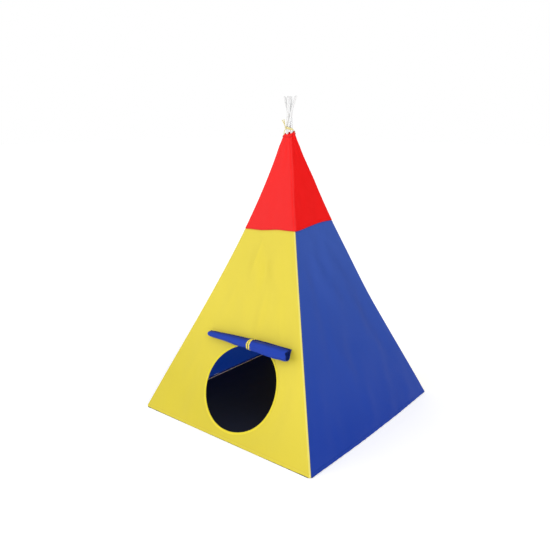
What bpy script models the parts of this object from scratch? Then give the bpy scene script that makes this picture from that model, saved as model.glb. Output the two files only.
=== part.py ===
"""A kids' play teepee, in metres, +Z up, front towards -Y.

Four jointed plastic poles stand in sleeves at the corners of a square cloth cover. They bow inwards, cross
above the neck and are tied there with a ribbon. The front has a round door, with its flap rolled up and tied.
The origin is the middle of the base, on the ground.
"""

import math

import bmesh
import bpy
from mathutils import Matrix, Vector

# Cover
BASE_SIDE = 1.000
NECK_SIDE = 0.0435
NECK_HEIGHT = 1.295
COVER_BOW = 0.029
CAP_HEIGHT = 0.407
SEAM_RISE = 0.031
NECK_DIP = 0.015
CLOTH = 0.0012
HEM_CORNER_RADIUS = 0.018
FOLD_DEPTH = 0.0035
FOLD_LOW = 0.52
FOLDS_ACROSS = 1.6
FOLD_SLANT = 0.9
FOLD_SIDE_SHIFT = 0.2
SEWN_GAP = 0.0003

# Neck casing and tie
CASING_HEIGHT = 0.014
CASING_CLOTH = 0.0015
TIE_HEIGHT = 0.006
TIE_RISE = 0.004
RIBBON = 0.0008
KNOT_BEND_RADIUS = 0.0022
KNOT_CLOTH = 0.0032
KNOT_WIDTH = 0.007
KNOT_HEIGHT = 0.005
TIE_END_LENGTH = 0.046
TIE_END_SPREAD = 0.012
TIE_END_LEAN = 0.012
KNOT_CORNERS = (3, 0)

# Poles
POLE_DIAMETER = 0.0105
POLE_WALL = 0.001
CROSSING_ABOVE_NECK = 0.055
TIP_LENGTH = 0.100
TIP_SLOPE = 0.110
TIP_FLARES = (0.014, 0.0, 0.005, 0.0)
FREE_LENGTH = 0.310
TWIST_LENGTH = 0.140
TWIST_END_LENGTH = 0.040
SPIGOT_LENGTH = 0.035
COLLAR_LENGTH = 0.006
PLUG_DOME = 0.004
PLUG_LENGTH = 0.012
FOOT_LENGTH = 0.028
FOOT_WALL = 0.0008
FOOT_SOLE = 0.003
POLE_STATION = 0.080
POLE_FIT = 0.0003

# Sleeves and corner pockets
SLEEVE_CLOTH = 0.0009
SLEEVE_END_LENGTH = 0.160
POCKET_HEIGHT = 0.065

# Floor
FLOOR_CLOTH = 0.001
FLOOR_CORNER_CUT = 0.034
FLOOR_TAPE_WIDTH = 0.012
FLOOR_TAPE_CLOTH = 0.0006

# Door
DOOR_RADIUS = 0.192
DOOR_X = 0.049
DOOR_HEIGHT = 0.228
BINDING_WIDTH = 0.011
BINDING_CLOTH = 0.0008
ROLL_LENGTH = 0.480
ROLL_X = 0.044
ROLL_DROP = 0.022
ROLL_RISE = 0.010
ROLL_RADIUS = 0.0262
FLAP_SEAM_HEIGHT = 0.430
DOOR_TIE_X = 0.054
DOOR_TIE_WIDTH = 0.010
DOOR_TIE_FIRST_ANGLE = math.radians(200)
DOOR_TIE_LAST_ANGLE = math.radians(470)

# Facets
POLE_SIDES = 8
PANEL_COLUMNS = 12
PANEL_ROWS = 13
CAP_COLUMNS = 6
CAP_ROWS = 6
DOOR_SEGMENTS = 48
ROLL_TURNS = 2.75
ROLL_POINTS_PER_TURN = 12
DOOR_TIE_SEGMENTS = 22
NECK_TIE_ARC_SEGMENTS = 4
KNOT_SEGMENTS = 4
SHARP_ANGLE = math.radians(35)
CUT_OVERRUN = 0.05

# Shares of the named sizes that they follow
BOW_SKEW_SHARE = 0.6
JOINT_SHARES = (0.331, 0.662)
NECK_DIP_SHARES = (0.0, -1.0, 0.7, 0.0)
HEM_COLUMN_SHARES = (0.0, 0.12, 0.45, 1.0)
ROLL_STATION_SHARES = (0.0, 0.05, 0.25, 0.47, 0.52, 0.57, 0.80, 1.0)
ROLL_RADIUS_SHARES = (0.44, 0.56, 0.76, 0.90, 0.82, 0.92, 1.0, 0.99)
ROLL_AXIS_SHARES = (0.44, 0.56, 0.76, 0.90, 0.90, 0.92, 1.0, 0.99)
CREASE_SHARE = 0.05
CREASE_FADE_SHARE = 0.25
CREASES_PER_TURN = 3
ROLL_CLOTH_SHARE = 0.12
ROLL_PITCH_SHARE = 0.20
TIE_END_BEND_SHARE = 0.3

CORNER_NAMES = ("front_left", "front_right", "back_right", "back_left")
CORNER_SIGNS = ((-1, -1), (1, -1), (1, 1), (-1, 1))
SIDE_NAMES = ("front", "right", "back", "left")
SIDE_OUTWARD = (Vector((0, -1, 0)), Vector((1, 0, 0)), Vector((0, 1, 0)), Vector((-1, 0, 0)))
SIDE_ALONG = (Vector((1, 0, 0)), Vector((0, 1, 0)), Vector((-1, 0, 0)), Vector((0, -1, 0)))
UP = Vector((0, 0, 1))

SEAM_HEIGHT = NECK_HEIGHT - CAP_HEIGHT
CROSSING_HEIGHT = NECK_HEIGHT + CROSSING_ABOVE_NECK
TIP_HEIGHT = CROSSING_HEIGHT + TIP_LENGTH
FREE_HEIGHT = CROSSING_HEIGHT - FREE_LENGTH
TWIST_TOP_HEIGHT = CROSSING_HEIGHT - TWIST_END_LENGTH
TWIST_LOW_HEIGHT = TWIST_TOP_HEIGHT - TWIST_LENGTH
SLEEVE_TOP_HEIGHT = CROSSING_HEIGHT - SLEEVE_END_LENGTH
LOWER_JOINT_HEIGHT, UPPER_JOINT_HEIGHT = (TIP_HEIGHT * share for share in JOINT_SHARES)

POLE_RADIUS = POLE_DIAMETER / 2
BORE_RADIUS = POLE_RADIUS - POLE_WALL
FOOT_RADIUS = POLE_RADIUS + POLE_FIT + FOOT_WALL
SLEEVE_BORE_RADIUS = FOOT_RADIUS + POLE_FIT
SLEEVE_RADIUS = SLEEVE_BORE_RADIUS + SLEEVE_CLOTH

# Out from the cover: the binding, the door tie's back run over it, and the flap in front of both
DOOR_TIE_BEHIND = 2 * SEWN_GAP + BINDING_CLOTH + RIBBON / 2
FLAP_LOW = DOOR_TIE_BEHIND + RIBBON / 2 + SEWN_GAP
FLAP_MIDDLE = FLAP_LOW + CLOTH / 2

YELLOW = (0.83, 0.70, 0.10, 1)
BLUE = (0.03, 0.10, 0.42, 1)
RED = (0.88, 0.03, 0.02, 1)
NAVY = (0.008, 0.010, 0.020, 1)
CREAM = (0.90, 0.80, 0.50, 1)
WHITE = (0.85, 0.85, 0.85, 1)
TAPE = (0.45, 0.40, 0.35, 1)
SIDE_COLOURS = (YELLOW, BLUE, YELLOW, BLUE)
CLOTH_ROUGHNESS = 0.6
PLASTIC_ROUGHNESS = 0.4


def clear_scene():
    for obj in list(bpy.data.objects):
        bpy.data.objects.remove(obj, do_unlink=True)


def material(name, colour, roughness):
    found = bpy.data.materials.new(name)
    found.use_nodes = True
    shader = found.node_tree.nodes["Principled BSDF"]
    shader.inputs["Base Color"].default_value = colour
    shader.inputs["Roughness"].default_value = roughness
    shader.inputs["Metallic"].default_value = 0.0
    return found


def finish_object(bm, name, colour, roughness=CLOTH_ROUGHNESS, smooth=True):
    """Turns the bmesh into a scene object of that name, with its faces pointing out."""
    bmesh.ops.recalc_face_normals(bm, faces=bm.faces)
    mesh = bpy.data.meshes.new(name)
    bm.to_mesh(mesh)
    bm.free()
    if smooth:
        mesh.shade_smooth()
        mesh.set_sharp_from_angle(angle=SHARP_ANGLE)
    obj = bpy.data.objects.new(name, mesh)
    mesh.materials.append(material(name + "_finish", colour, roughness))
    bpy.context.scene.collection.objects.link(obj)
    return obj


def loft(rings, name, colour, closed=False, roughness=CLOTH_ROUGHNESS):
    """Skins rings of equal count. A closed loft joins the last to the first, and an open one is capped."""
    bm = bmesh.new()
    loops = [[bm.verts.new(point) for point in ring] for ring in rings]
    count = len(loops[0])
    pairs = list(zip(loops, loops[1:]))
    if closed:
        pairs.append((loops[-1], loops[0]))
    else:
        bm.faces.new(loops[0])
        bm.faces.new(list(reversed(loops[-1])))
    for first, second in pairs:
        for i in range(count):
            j = (i + 1) % count
            bm.faces.new((first[i], first[j], second[j], second[i]))
    return finish_object(bm, name, colour, roughness)


def smooth_share(value, low, high):
    share = min(max((value - low) / (high - low), 0.0), 1.0)
    return share * share * (3 - 2 * share)


def half_width(z):
    """Half the cover's outer width at a height: a straight taper, drawn in most above its middle by the poles."""
    share = z / NECK_HEIGHT
    straight = (BASE_SIDE + (NECK_SIDE - BASE_SIDE) * share) / 2
    skew = 1 + BOW_SKEW_SHARE * (2 * share - 1)
    return straight - COVER_BOW * 4 * share * (1 - share) * skew


def half_width_slope(z):
    share = z / NECK_HEIGHT
    skew = 1 + BOW_SKEW_SHARE * (2 * share - 1)
    bow_slope = 4 * ((1 - 2 * share) * skew + 2 * BOW_SKEW_SHARE * share * (1 - share))
    return ((NECK_SIDE - BASE_SIDE) / 2 - COVER_BOW * bow_slope) / NECK_HEIGHT


def lean(z):
    """How much longer a level step through the leaning cloth is than one square to it."""
    return math.hypot(1, half_width_slope(z))


def seam_height(corner):
    sign_x, sign_y = CORNER_SIGNS[corner % 4]
    return SEAM_HEIGHT + SEAM_RISE * (sign_x + sign_y) / 4


def neck_height(corner):
    return NECK_HEIGHT + NECK_DIP * NECK_DIP_SHARES[corner % 4]


def casing_seam_height(corner):
    return neck_height(corner) - CASING_HEIGHT


def across(side, s, corner_height):
    """A height that runs straight from one corner of a side, s = -1, to the next, s = 1."""
    return corner_height(side) + (corner_height(side + 1) - corner_height(side)) * (s + 1) / 2


def lap_drop(side, s):
    """At a lapped corner, how far the next side's casing seam falls within the cloth's thickness."""
    if abs(s) < 1:
        return 0.0
    turn = 1 if s > 0 else -1
    corner = side + (1 if s > 0 else 0)
    height = casing_seam_height(corner)
    fall = max(height - casing_seam_height(corner + turn), 0.0)
    return fall * CLOTH * lean(height) / (2 * half_width(height))


def hem_rise(s):
    """The hem's rounded corner lifts it there."""
    inset = (1 - abs(s)) * BASE_SIDE / 2
    if inset >= HEM_CORNER_RADIUS:
        return 0.0
    return HEM_CORNER_RADIUS - math.sqrt(HEM_CORNER_RADIUS**2 - (HEM_CORNER_RADIUS - inset) ** 2)


def fold(side, s, z):
    """Shallow folds that run slantwise down from the seam, where the cloth is pulled between the poles."""
    high = SEAM_HEIGHT - SEAM_RISE
    if not FOLD_LOW < z < high:
        return 0.0
    share = (z - FOLD_LOW) / (high - FOLD_LOW)
    window = math.sin(math.pi * share) ** 2 * (1 - s * s) ** 2
    turn = FOLDS_ACROSS * s + FOLD_SLANT * share + FOLD_SIDE_SHIFT * side
    return FOLD_DEPTH * window * math.sin(math.tau * turn)


def edge_reach(side, z):
    """Half a side's width: the front and back lap the edges of the left and right, which end behind them."""
    if SIDE_OUTWARD[side].y:
        return half_width(z)
    return half_width(z) - CLOTH * lean(z) - SEWN_GAP


def seam_line(side, s, corner_height):
    """A seam's height at the share s of a side's own cloth, which may end short of the corners."""
    z = across(side, s, corner_height)
    return across(side, s * edge_reach(side, z) / half_width(z), corner_height)


def cap_top(side, s):
    """A cap ends under the casing's outer and inner edge, whichever lies lower there."""
    outer, inner = seam_line(side, s, casing_seam_height), across(side, s, casing_seam_height)
    return min(outer, inner) - lap_drop(side, s) - SEWN_GAP


def cloth_point(side, s, z, depth):
    """A point of a side's cloth, depth under its outer face along a level line."""
    reach = half_width(z) - depth + fold(side, s, z)
    return SIDE_OUTWARD[side] * reach + SIDE_ALONG[side] * (s * edge_reach(side, z)) + UP * z


def column_stations(columns, corner_shares):
    corner = HEM_CORNER_RADIUS / (BASE_SIDE / 2)
    edge = [1 - corner * share for share in corner_shares]
    inner = edge[-1]
    middle = [inner - 2 * inner * i / columns for i in range(1, columns)]
    return [-s for s in edge] + list(reversed(middle)) + list(reversed(edge))


def panel(name, side, low, high, columns, rows, colour, corner_shares=(0.0,)):
    """One side's cloth between two heights, each a function of s, as a closed sheet."""
    stations = column_stations(columns, corner_shares)
    bm = bmesh.new()
    layers = []
    for layer in (0, 1):
        grid = []
        for i in range(rows + 1):
            row = []
            for s in stations:
                z = low(s) + (high(s) - low(s)) * i / rows
                row.append(bm.verts.new(cloth_point(side, s, z, layer * CLOTH * lean(z))))
            grid.append(row)
        layers.append(grid)
    outer, inner = layers
    last = len(stations) - 1
    for i in range(rows):
        for j in range(last):
            bm.faces.new((outer[i][j], outer[i][j + 1], outer[i + 1][j + 1], outer[i + 1][j]))
            bm.faces.new((inner[i][j], inner[i + 1][j], inner[i + 1][j + 1], inner[i][j + 1]))
    for j in range(last):
        bm.faces.new((outer[0][j], inner[0][j], inner[0][j + 1], outer[0][j + 1]))
        bm.faces.new((outer[rows][j], outer[rows][j + 1], inner[rows][j + 1], inner[rows][j]))
    for i in range(rows):
        bm.faces.new((outer[i][0], outer[i + 1][0], inner[i + 1][0], inner[i][0]))
        bm.faces.new((outer[i][last], inner[i][last], inner[i + 1][last], outer[i + 1][last]))
    return finish_object(bm, name, colour)


def build_cover():
    lower = []
    for side, name in enumerate(SIDE_NAMES):
        lower.append(
            panel(
                name + "_panel",
                side,
                hem_rise,
                lambda s, side=side: seam_line(side, s, seam_height) - SEWN_GAP,
                PANEL_COLUMNS,
                PANEL_ROWS,
                SIDE_COLOURS[side],
                HEM_COLUMN_SHARES,
            )
        )
        panel(
            name + "_cap",
            side,
            lambda s, side=side: seam_line(side, s, seam_height),
            lambda s, side=side: cap_top(side, s),
            CAP_COLUMNS,
            CAP_ROWS,
            RED,
        )
    return lower


def square_ring(reach_of, height_of):
    """A level-sided square round the neck, with a point at each corner and each middle."""
    ring = []
    for side in range(4):
        for s in (-1, 0):
            z = across(side, s, height_of)
            reach = reach_of(z)
            ring.append(SIDE_OUTWARD[side] * reach + SIDE_ALONG[side] * (s * reach) + UP * z)
    return ring


def build_neck_casing():
    def inner_reach(z):
        return half_width(z) - CASING_CLOTH * lean(z)

    rings = [
        square_ring(half_width, casing_seam_height),
        square_ring(half_width, neck_height),
        square_ring(inner_reach, neck_height),
        square_ring(inner_reach, casing_seam_height),
    ]
    return loft(rings, "neck_casing", RED, closed=True)


def corner_inset(z):
    """From the cover's outer face to the pole's axis, on a level line, with the sleeve against the cloth."""
    return (CLOTH + SEWN_GAP + SLEEVE_RADIUS) * lean(z)


def corner_reach(z):
    return math.sqrt(2) * (half_width(z) - corner_inset(z))


def pole_reach(z):
    """The pole's distance from the middle on its diagonal: in the corner, then eased over to its crossing."""
    if z <= FREE_HEIGHT:
        return corner_reach(z)
    end_slope = -math.sqrt(2) * TIP_SLOPE
    if z >= CROSSING_HEIGHT:
        return end_slope * (z - CROSSING_HEIGHT)
    span = CROSSING_HEIGHT - FREE_HEIGHT
    step = POLE_DIAMETER
    start_slope = (corner_reach(FREE_HEIGHT) - corner_reach(FREE_HEIGHT - step)) / step
    share = (z - FREE_HEIGHT) / span
    start = corner_reach(FREE_HEIGHT) * (2 * share**3 - 3 * share**2 + 1)
    leaving = start_slope * span * (share**3 - 2 * share**2 + share)
    arriving = end_slope * span * (share**3 - share**2)
    return start + leaving + arriving


def pole_side_step(z):
    """The step aside that lets each pole pass its neighbours at the crossing."""
    clear = (POLE_DIAMETER + 2 * POLE_FIT) / math.sqrt(2)
    return clear * smooth_share(z, TWIST_LOW_HEIGHT, TWIST_TOP_HEIGHT)


def pole_point(corner, z):
    """The pole's middle at a height. Above the crossing, some poles flare out further than the others."""
    sign_x, sign_y = CORNER_SIGNS[corner]
    diagonal = Vector((sign_x, sign_y, 0)).normalized()
    sideways = UP.cross(diagonal)
    above = max(z - CROSSING_HEIGHT, 0.0) / (TIP_HEIGHT - CROSSING_HEIGHT)
    flare = Vector((-sign_x, 0, 0)) * (TIP_FLARES[corner] * above**2)
    return diagonal * pole_reach(z) + sideways * pole_side_step(z) + flare + UP * z


def pole_frame(corner, z):
    """The pole's axis and two square directions, the first pointing away from the tent's middle."""
    step = POLE_DIAMETER / 4
    tangent = (pole_point(corner, z + step) - pole_point(corner, z - step)).normalized()
    sign_x, sign_y = CORNER_SIGNS[corner]
    sideways = tangent.cross(Vector((sign_x, sign_y, 0))).normalized()
    return tangent, sideways.cross(tangent), sideways


def pole_ring(corner, z, radius, flat_height=None):
    """A ring round the pole, square to it, or cut level at flat_height."""
    tangent, outward, sideways = pole_frame(corner, z)
    centre = pole_point(corner, z)
    ring = []
    for i in range(POLE_SIDES):
        angle = math.tau * (i + 0.5) / POLE_SIDES
        point = centre + (outward * math.cos(angle) + sideways * math.sin(angle)) * radius
        if flat_height is not None:
            point += tangent * ((flat_height - point.z) / tangent.z)
        ring.append(point)
    return ring


def stations_between(low, high):
    """Heights that all pieces on a pole share, with the two ends, so that their facets lie alike."""
    heights = []
    z = POLE_STATION
    while z < high:
        heights.append(z)
        z += POLE_STATION if z < FREE_HEIGHT else POLE_STATION / 3
    margin = POLE_DIAMETER / 2
    return [low] + [z for z in heights if low + margin < z < high - margin] + [high]


def pole_tube(name, corner, low, high, radius, bore, colour, roughness):
    heights = stations_between(low, high)
    rings = [pole_ring(corner, z, radius) for z in heights]
    rings += [pole_ring(corner, z, bore) for z in reversed(heights)]
    return loft(rings, name, colour, closed=True, roughness=roughness)


def build_joiner(name, corner, z):
    """A plastic joiner: a peg up and down into the two tubes, and a collar that they meet at."""
    half_collar = COLLAR_LENGTH / 2
    peg = BORE_RADIUS - POLE_FIT
    low, high = z - half_collar - SPIGOT_LENGTH, z + half_collar + SPIGOT_LENGTH
    profile = (
        (low, peg - POLE_FIT),
        (low + POLE_WALL, peg),
        (z - half_collar, peg),
        (z - half_collar, POLE_RADIUS),
        (z + half_collar, POLE_RADIUS),
        (z + half_collar, peg),
        (high - POLE_WALL, peg),
        (high, peg - POLE_FIT),
    )
    return loft([pole_ring(corner, h, r) for h, r in profile], name, WHITE, roughness=PLASTIC_ROUGHNESS)


def build_tip_plug(name, corner):
    """A domed plug that closes the tube's top."""
    peg = BORE_RADIUS - POLE_FIT
    seat = TIP_HEIGHT + POLE_FIT
    profile = (
        (seat - PLUG_LENGTH, peg),
        (seat, peg),
        (seat, POLE_RADIUS),
        (seat + PLUG_DOME / 2, POLE_RADIUS),
        (seat + PLUG_DOME, POLE_RADIUS / 2),
    )
    return loft([pole_ring(corner, h, r) for h, r in profile], name, WHITE, roughness=PLASTIC_ROUGHNESS)


def cup(name, corner, floor_height, sole, height, bore, wall, colour):
    """A cup round the pole's foot, standing level on the floor height."""
    top = floor_height + height
    heights = stations_between(floor_height + sole, top)[1:]
    rings = [pole_ring(corner, floor_height, bore + wall, floor_height)]
    rings += [pole_ring(corner, z, bore + wall) for z in heights]
    rings += [pole_ring(corner, z, bore) for z in reversed(heights)]
    rings += [pole_ring(corner, floor_height + sole, bore, floor_height + sole)]
    return loft(rings, name, colour)


def build_pole(corner):
    """One pole with its joiners, plug and foot, and the sleeve and corner pocket that hold it."""
    name = CORNER_NAMES[corner] + "_"
    half_gap = COLLAR_LENGTH / 2 + POLE_FIT
    pole_bottom = CLOTH + SEWN_GAP + FOOT_SOLE + POLE_RADIUS
    spans = (
        ("pole_lower", pole_bottom, LOWER_JOINT_HEIGHT - half_gap),
        ("pole_middle", LOWER_JOINT_HEIGHT + half_gap, UPPER_JOINT_HEIGHT - half_gap),
        ("pole_upper", UPPER_JOINT_HEIGHT + half_gap, TIP_HEIGHT),
    )
    for part, low, high in spans:
        pole_tube(name + part, corner, low, high, POLE_RADIUS, BORE_RADIUS, WHITE, PLASTIC_ROUGHNESS)
    build_joiner(name + "lower_joiner", corner, LOWER_JOINT_HEIGHT)
    build_joiner(name + "upper_joiner", corner, UPPER_JOINT_HEIGHT)
    build_tip_plug(name + "tip_plug", corner)
    cloth = SIDE_COLOURS[corner]
    cup(
        name + "foot_cap", corner, CLOTH + SEWN_GAP, FOOT_SOLE, FOOT_LENGTH,
        POLE_RADIUS + POLE_FIT, FOOT_WALL, WHITE,
    )
    cup(
        name + "corner_pocket", corner, 0.0, CLOTH, POCKET_HEIGHT - SEWN_GAP,
        SLEEVE_BORE_RADIUS, SLEEVE_CLOTH, cloth,
    )
    pole_tube(
        name + "sleeve", corner, POCKET_HEIGHT, SLEEVE_TOP_HEIGHT, SLEEVE_RADIUS,
        SLEEVE_BORE_RADIUS, cloth, CLOTH_ROUGHNESS,
    )


def cut_square(reach, cut):
    """A square about the middle with its corners cut across."""
    short = reach - cut
    return (
        (-short, -reach), (short, -reach), (reach, -short), (reach, short),
        (short, reach), (-short, reach), (-reach, short), (-reach, -short),
    )


def level_ring(points, z):
    return [Vector((x, y, z)) for x, y in points]


def build_floor():
    """The floor sheet, and the light tape sewn round its edge."""
    top = FLOOR_CLOTH
    reach = half_width(top) - CLOTH * lean(top) - SEWN_GAP
    outline = cut_square(reach, FLOOR_CORNER_CUT)
    loft([level_ring(outline, 0.0), level_ring(outline, top)], "floor_sheet", NAVY)

    tape_low = top + SEWN_GAP
    tape_high = tape_low + FLOOR_TAPE_CLOTH
    outer_reach = half_width(tape_high) - CLOTH * lean(tape_high) - SEWN_GAP
    diagonal_share = 2 - math.sqrt(2)
    outer = cut_square(outer_reach, FLOOR_CORNER_CUT)
    inner_cut = FLOOR_CORNER_CUT - FLOOR_TAPE_WIDTH * diagonal_share
    inner = cut_square(outer_reach - FLOOR_TAPE_WIDTH, inner_cut)
    rings = [
        level_ring(outer, tape_low),
        level_ring(outer, tape_high),
        level_ring(inner, tape_high),
        level_ring(inner, tape_low),
    ]
    loft(rings, "floor_tape", TAPE, closed=True)


def front_axes(z):
    """Out of the front cloth and up along it."""
    tilt = math.atan(-half_width_slope(z))
    outward = SIDE_OUTWARD[0] * math.cos(tilt) + UP * math.sin(tilt)
    upward = UP * math.cos(tilt) - SIDE_OUTWARD[0] * math.sin(tilt)
    return outward, upward


def front_height(rise):
    """The height on the front cloth of a rise up the door's flat, measured from the door's middle."""
    outward, upward = front_axes(DOOR_HEIGHT)
    z = DOOR_HEIGHT + rise * upward.z
    for _ in range(6):
        offset = SIDE_OUTWARD[0] * (half_width(z) - half_width(DOOR_HEIGHT)) + UP * (z - DOOR_HEIGHT)
        z += (rise - offset.dot(upward)) * upward.z
    return z


def front_point(x, z, proud):
    return SIDE_ALONG[0] * x + SIDE_OUTWARD[0] * half_width(z) + UP * z + front_axes(z)[0] * proud


def cut_door(front_panel):
    outward, upward = front_axes(DOOR_HEIGHT)
    bm = bmesh.new()
    bmesh.ops.create_cone(
        bm, cap_ends=True, segments=DOOR_SEGMENTS, radius1=DOOR_RADIUS, radius2=DOOR_RADIUS,
        depth=2 * CUT_OVERRUN,
    )
    turn = Matrix((SIDE_ALONG[0], upward, outward)).transposed().to_4x4()
    bm.transform(Matrix.Translation(front_point(DOOR_X, DOOR_HEIGHT, 0.0)) @ turn)
    cutter = finish_object(bm, "door_cutter", YELLOW, smooth=False)
    cutter.hide_render = True
    cutter.display_type = "WIRE"
    boolean = front_panel.modifiers.new("door", "BOOLEAN")
    boolean.operation = "DIFFERENCE"
    boolean.object = cutter


def build_door_binding():
    """The tape folded over the door's cut edge, a U in section."""
    hole = DOOR_RADIUS - SEWN_GAP
    lip = hole - BINDING_CLOTH
    leaf = DOOR_RADIUS + BINDING_WIDTH
    near, far = SEWN_GAP, SEWN_GAP + BINDING_CLOTH
    section = (
        (leaf, near), (leaf, far), (lip, far), (lip, -CLOTH - far),
        (leaf, -CLOTH - far), (leaf, -CLOTH - near), (hole, -CLOTH - near), (hole, near),
    )
    rings = []
    for i in range(DOOR_SEGMENTS):
        angle = math.tau * i / DOOR_SEGMENTS
        ring = []
        for radius, proud in section:
            z = front_height(radius * math.sin(angle))
            ring.append(front_point(DOOR_X + radius * math.cos(angle), z, proud))
        rings.append(ring)
    return loft(rings, "door_binding", YELLOW, closed=True)


def along_roll(share, radius_shares):
    """A radius at a share of the roll's length, from its thin end to its thick one."""
    spans = zip(ROLL_STATION_SHARES, ROLL_STATION_SHARES[1:], radius_shares, radius_shares[1:])
    for low, high, low_radius, high_radius in spans:
        if share <= high:
            part = (share - low) / (high - low)
            return ROLL_RADIUS * (low_radius + (high_radius - low_radius) * part)
    return ROLL_RADIUS * radius_shares[-1]


def roll_radius(share):
    return along_roll(share, ROLL_RADIUS_SHARES)


def roll_axis(share):
    """The roll's middle, out from and up along the front cloth, from the flap's sewn edge."""
    upward = front_axes(FLAP_SEAM_HEIGHT)[1]
    drop = (ROLL_RISE * (share - 0.5) - ROLL_DROP) / upward.z
    return FLAP_LOW + along_roll(share, ROLL_AXIS_SHARES), drop


def roll_section(share):
    """Middle line and half thickness of the flap: down from its sewn edge, then wound inwards."""
    out, up = roll_axis(share)
    radius = roll_radius(share)
    cloth = radius * ROLL_CLOTH_SHARE
    points = [(FLAP_MIDDLE, 0.0, CLOTH / 2), (FLAP_MIDDLE, up / 2, CLOTH / 2)]
    count = round(ROLL_TURNS * ROLL_POINTS_PER_TURN)
    for i in range(count + 1):
        turn = i / ROLL_POINTS_PER_TURN
        angle = math.pi + math.tau * turn
        crease = CREASE_SHARE * radius * math.cos(math.tau * CREASES_PER_TURN * turn + 2 * share)
        reach = radius - cloth / 2 - ROLL_PITCH_SHARE * radius * turn
        fade = smooth_share(turn, 0.0, CREASE_FADE_SHARE) * (1 - smooth_share(turn, 1 - CREASE_FADE_SHARE, 1.0))
        reach -= abs(crease) * fade
        points.append((out + reach * math.cos(angle), up + reach * math.sin(angle), cloth / 2))
    return points


def thicken(points, closed=False):
    """Two outlines, each half a thickness to one side of a middle line in the plane."""
    count = len(points)
    left, right = [], []
    for i, (a, b, half) in enumerate(points):
        before = points[i - 1] if i or closed else points[i]
        after = points[(i + 1) % count] if i < count - 1 or closed else points[i]
        run = Vector((after[0] - before[0], after[1] - before[1])).normalized()
        left.append((a - run.y * half, b + run.x * half))
        right.append((a + run.y * half, b - run.x * half))
    return left, right


def flap_point(x, out, up):
    """A point placed from the flap's sewn edge: along it, out of the cloth and up along the cloth."""
    outward, upward = front_axes(FLAP_SEAM_HEIGHT)
    return front_point(x, FLAP_SEAM_HEIGHT, 0.0) + outward * out + upward * up


def build_door_flap():
    """The door's flap, rolled up: a wound sheet that is slacker and thicker towards one end."""
    rings = []
    for share in ROLL_STATION_SHARES:
        x = ROLL_X + ROLL_LENGTH * (share - 0.5)
        left, right = thicken(roll_section(share))
        outline = left + list(reversed(right))
        rings.append([flap_point(x, out, up) for out, up in outline])
    return loft(rings, "door_flap", BLUE)


def ribbon_loop(points, place, width, thickness, name, colour):
    """A flat ribbon round a closed path in the plane, which place sets in the tent."""
    outer, inner = thicken([(a, b, thickness / 2) for a, b in points], closed=True)
    rings = []
    for (out_a, out_b), (in_a, in_b) in zip(outer, inner):
        rings.append([
            place(out_a, out_b, -width / 2), place(out_a, out_b, width / 2),
            place(in_a, in_b, width / 2), place(in_a, in_b, -width / 2),
        ])
    return loft(rings, name, colour, closed=True)


def build_door_tie():
    """The ribbon round the rolled flap: from the sewn edge, behind the roll, under it and back over it."""
    share = (DOOR_TIE_X - ROLL_X) / ROLL_LENGTH + 0.5
    out, up = roll_axis(share)
    half_width_share = DOOR_TIE_WIDTH / 2 / ROLL_LENGTH
    widest = max(roll_radius(share - half_width_share), roll_radius(share + half_width_share))
    reach = widest + 2 * SEWN_GAP + RIBBON / 2
    start = SEWN_GAP + RIBBON / 2
    points = [(start, start), (DOOR_TIE_BEHIND, up / 2)]
    sweep = DOOR_TIE_LAST_ANGLE - DOOR_TIE_FIRST_ANGLE
    for i in range(DOOR_TIE_SEGMENTS + 1):
        angle = DOOR_TIE_FIRST_ANGLE + sweep * i / DOOR_TIE_SEGMENTS
        points.append((out + reach * math.cos(angle), up + reach * math.sin(angle)))
    points.append((FLAP_MIDDLE + 3 * CLOTH, start + SEWN_GAP))

    def place(a, b, along):
        return flap_point(DOOR_TIE_X + along, a, b)

    return ribbon_loop(points, place, DOOR_TIE_WIDTH, RIBBON, "door_tie", YELLOW)


def tie_middle_height():
    return NECK_HEIGHT + NECK_DIP + TIE_RISE + TIE_HEIGHT / 2


def tie_path():
    """Round the four poles, tight on each and straight from one to the next."""
    low = tie_middle_height() - TIE_HEIGHT / 2
    reach = POLE_RADIUS * lean(low) + 2 * SEWN_GAP + RIBBON / 2
    points = []
    for corner in range(4):
        pole = pole_point(corner, low)
        facing = math.atan2(pole.y, pole.x)
        for i in range(NECK_TIE_ARC_SEGMENTS + 1):
            angle = facing + math.pi / 2 * (i / NECK_TIE_ARC_SEGMENTS - 0.5)
            points.append((pole.x + reach * math.cos(angle), pole.y + reach * math.sin(angle)))
    return points


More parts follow.
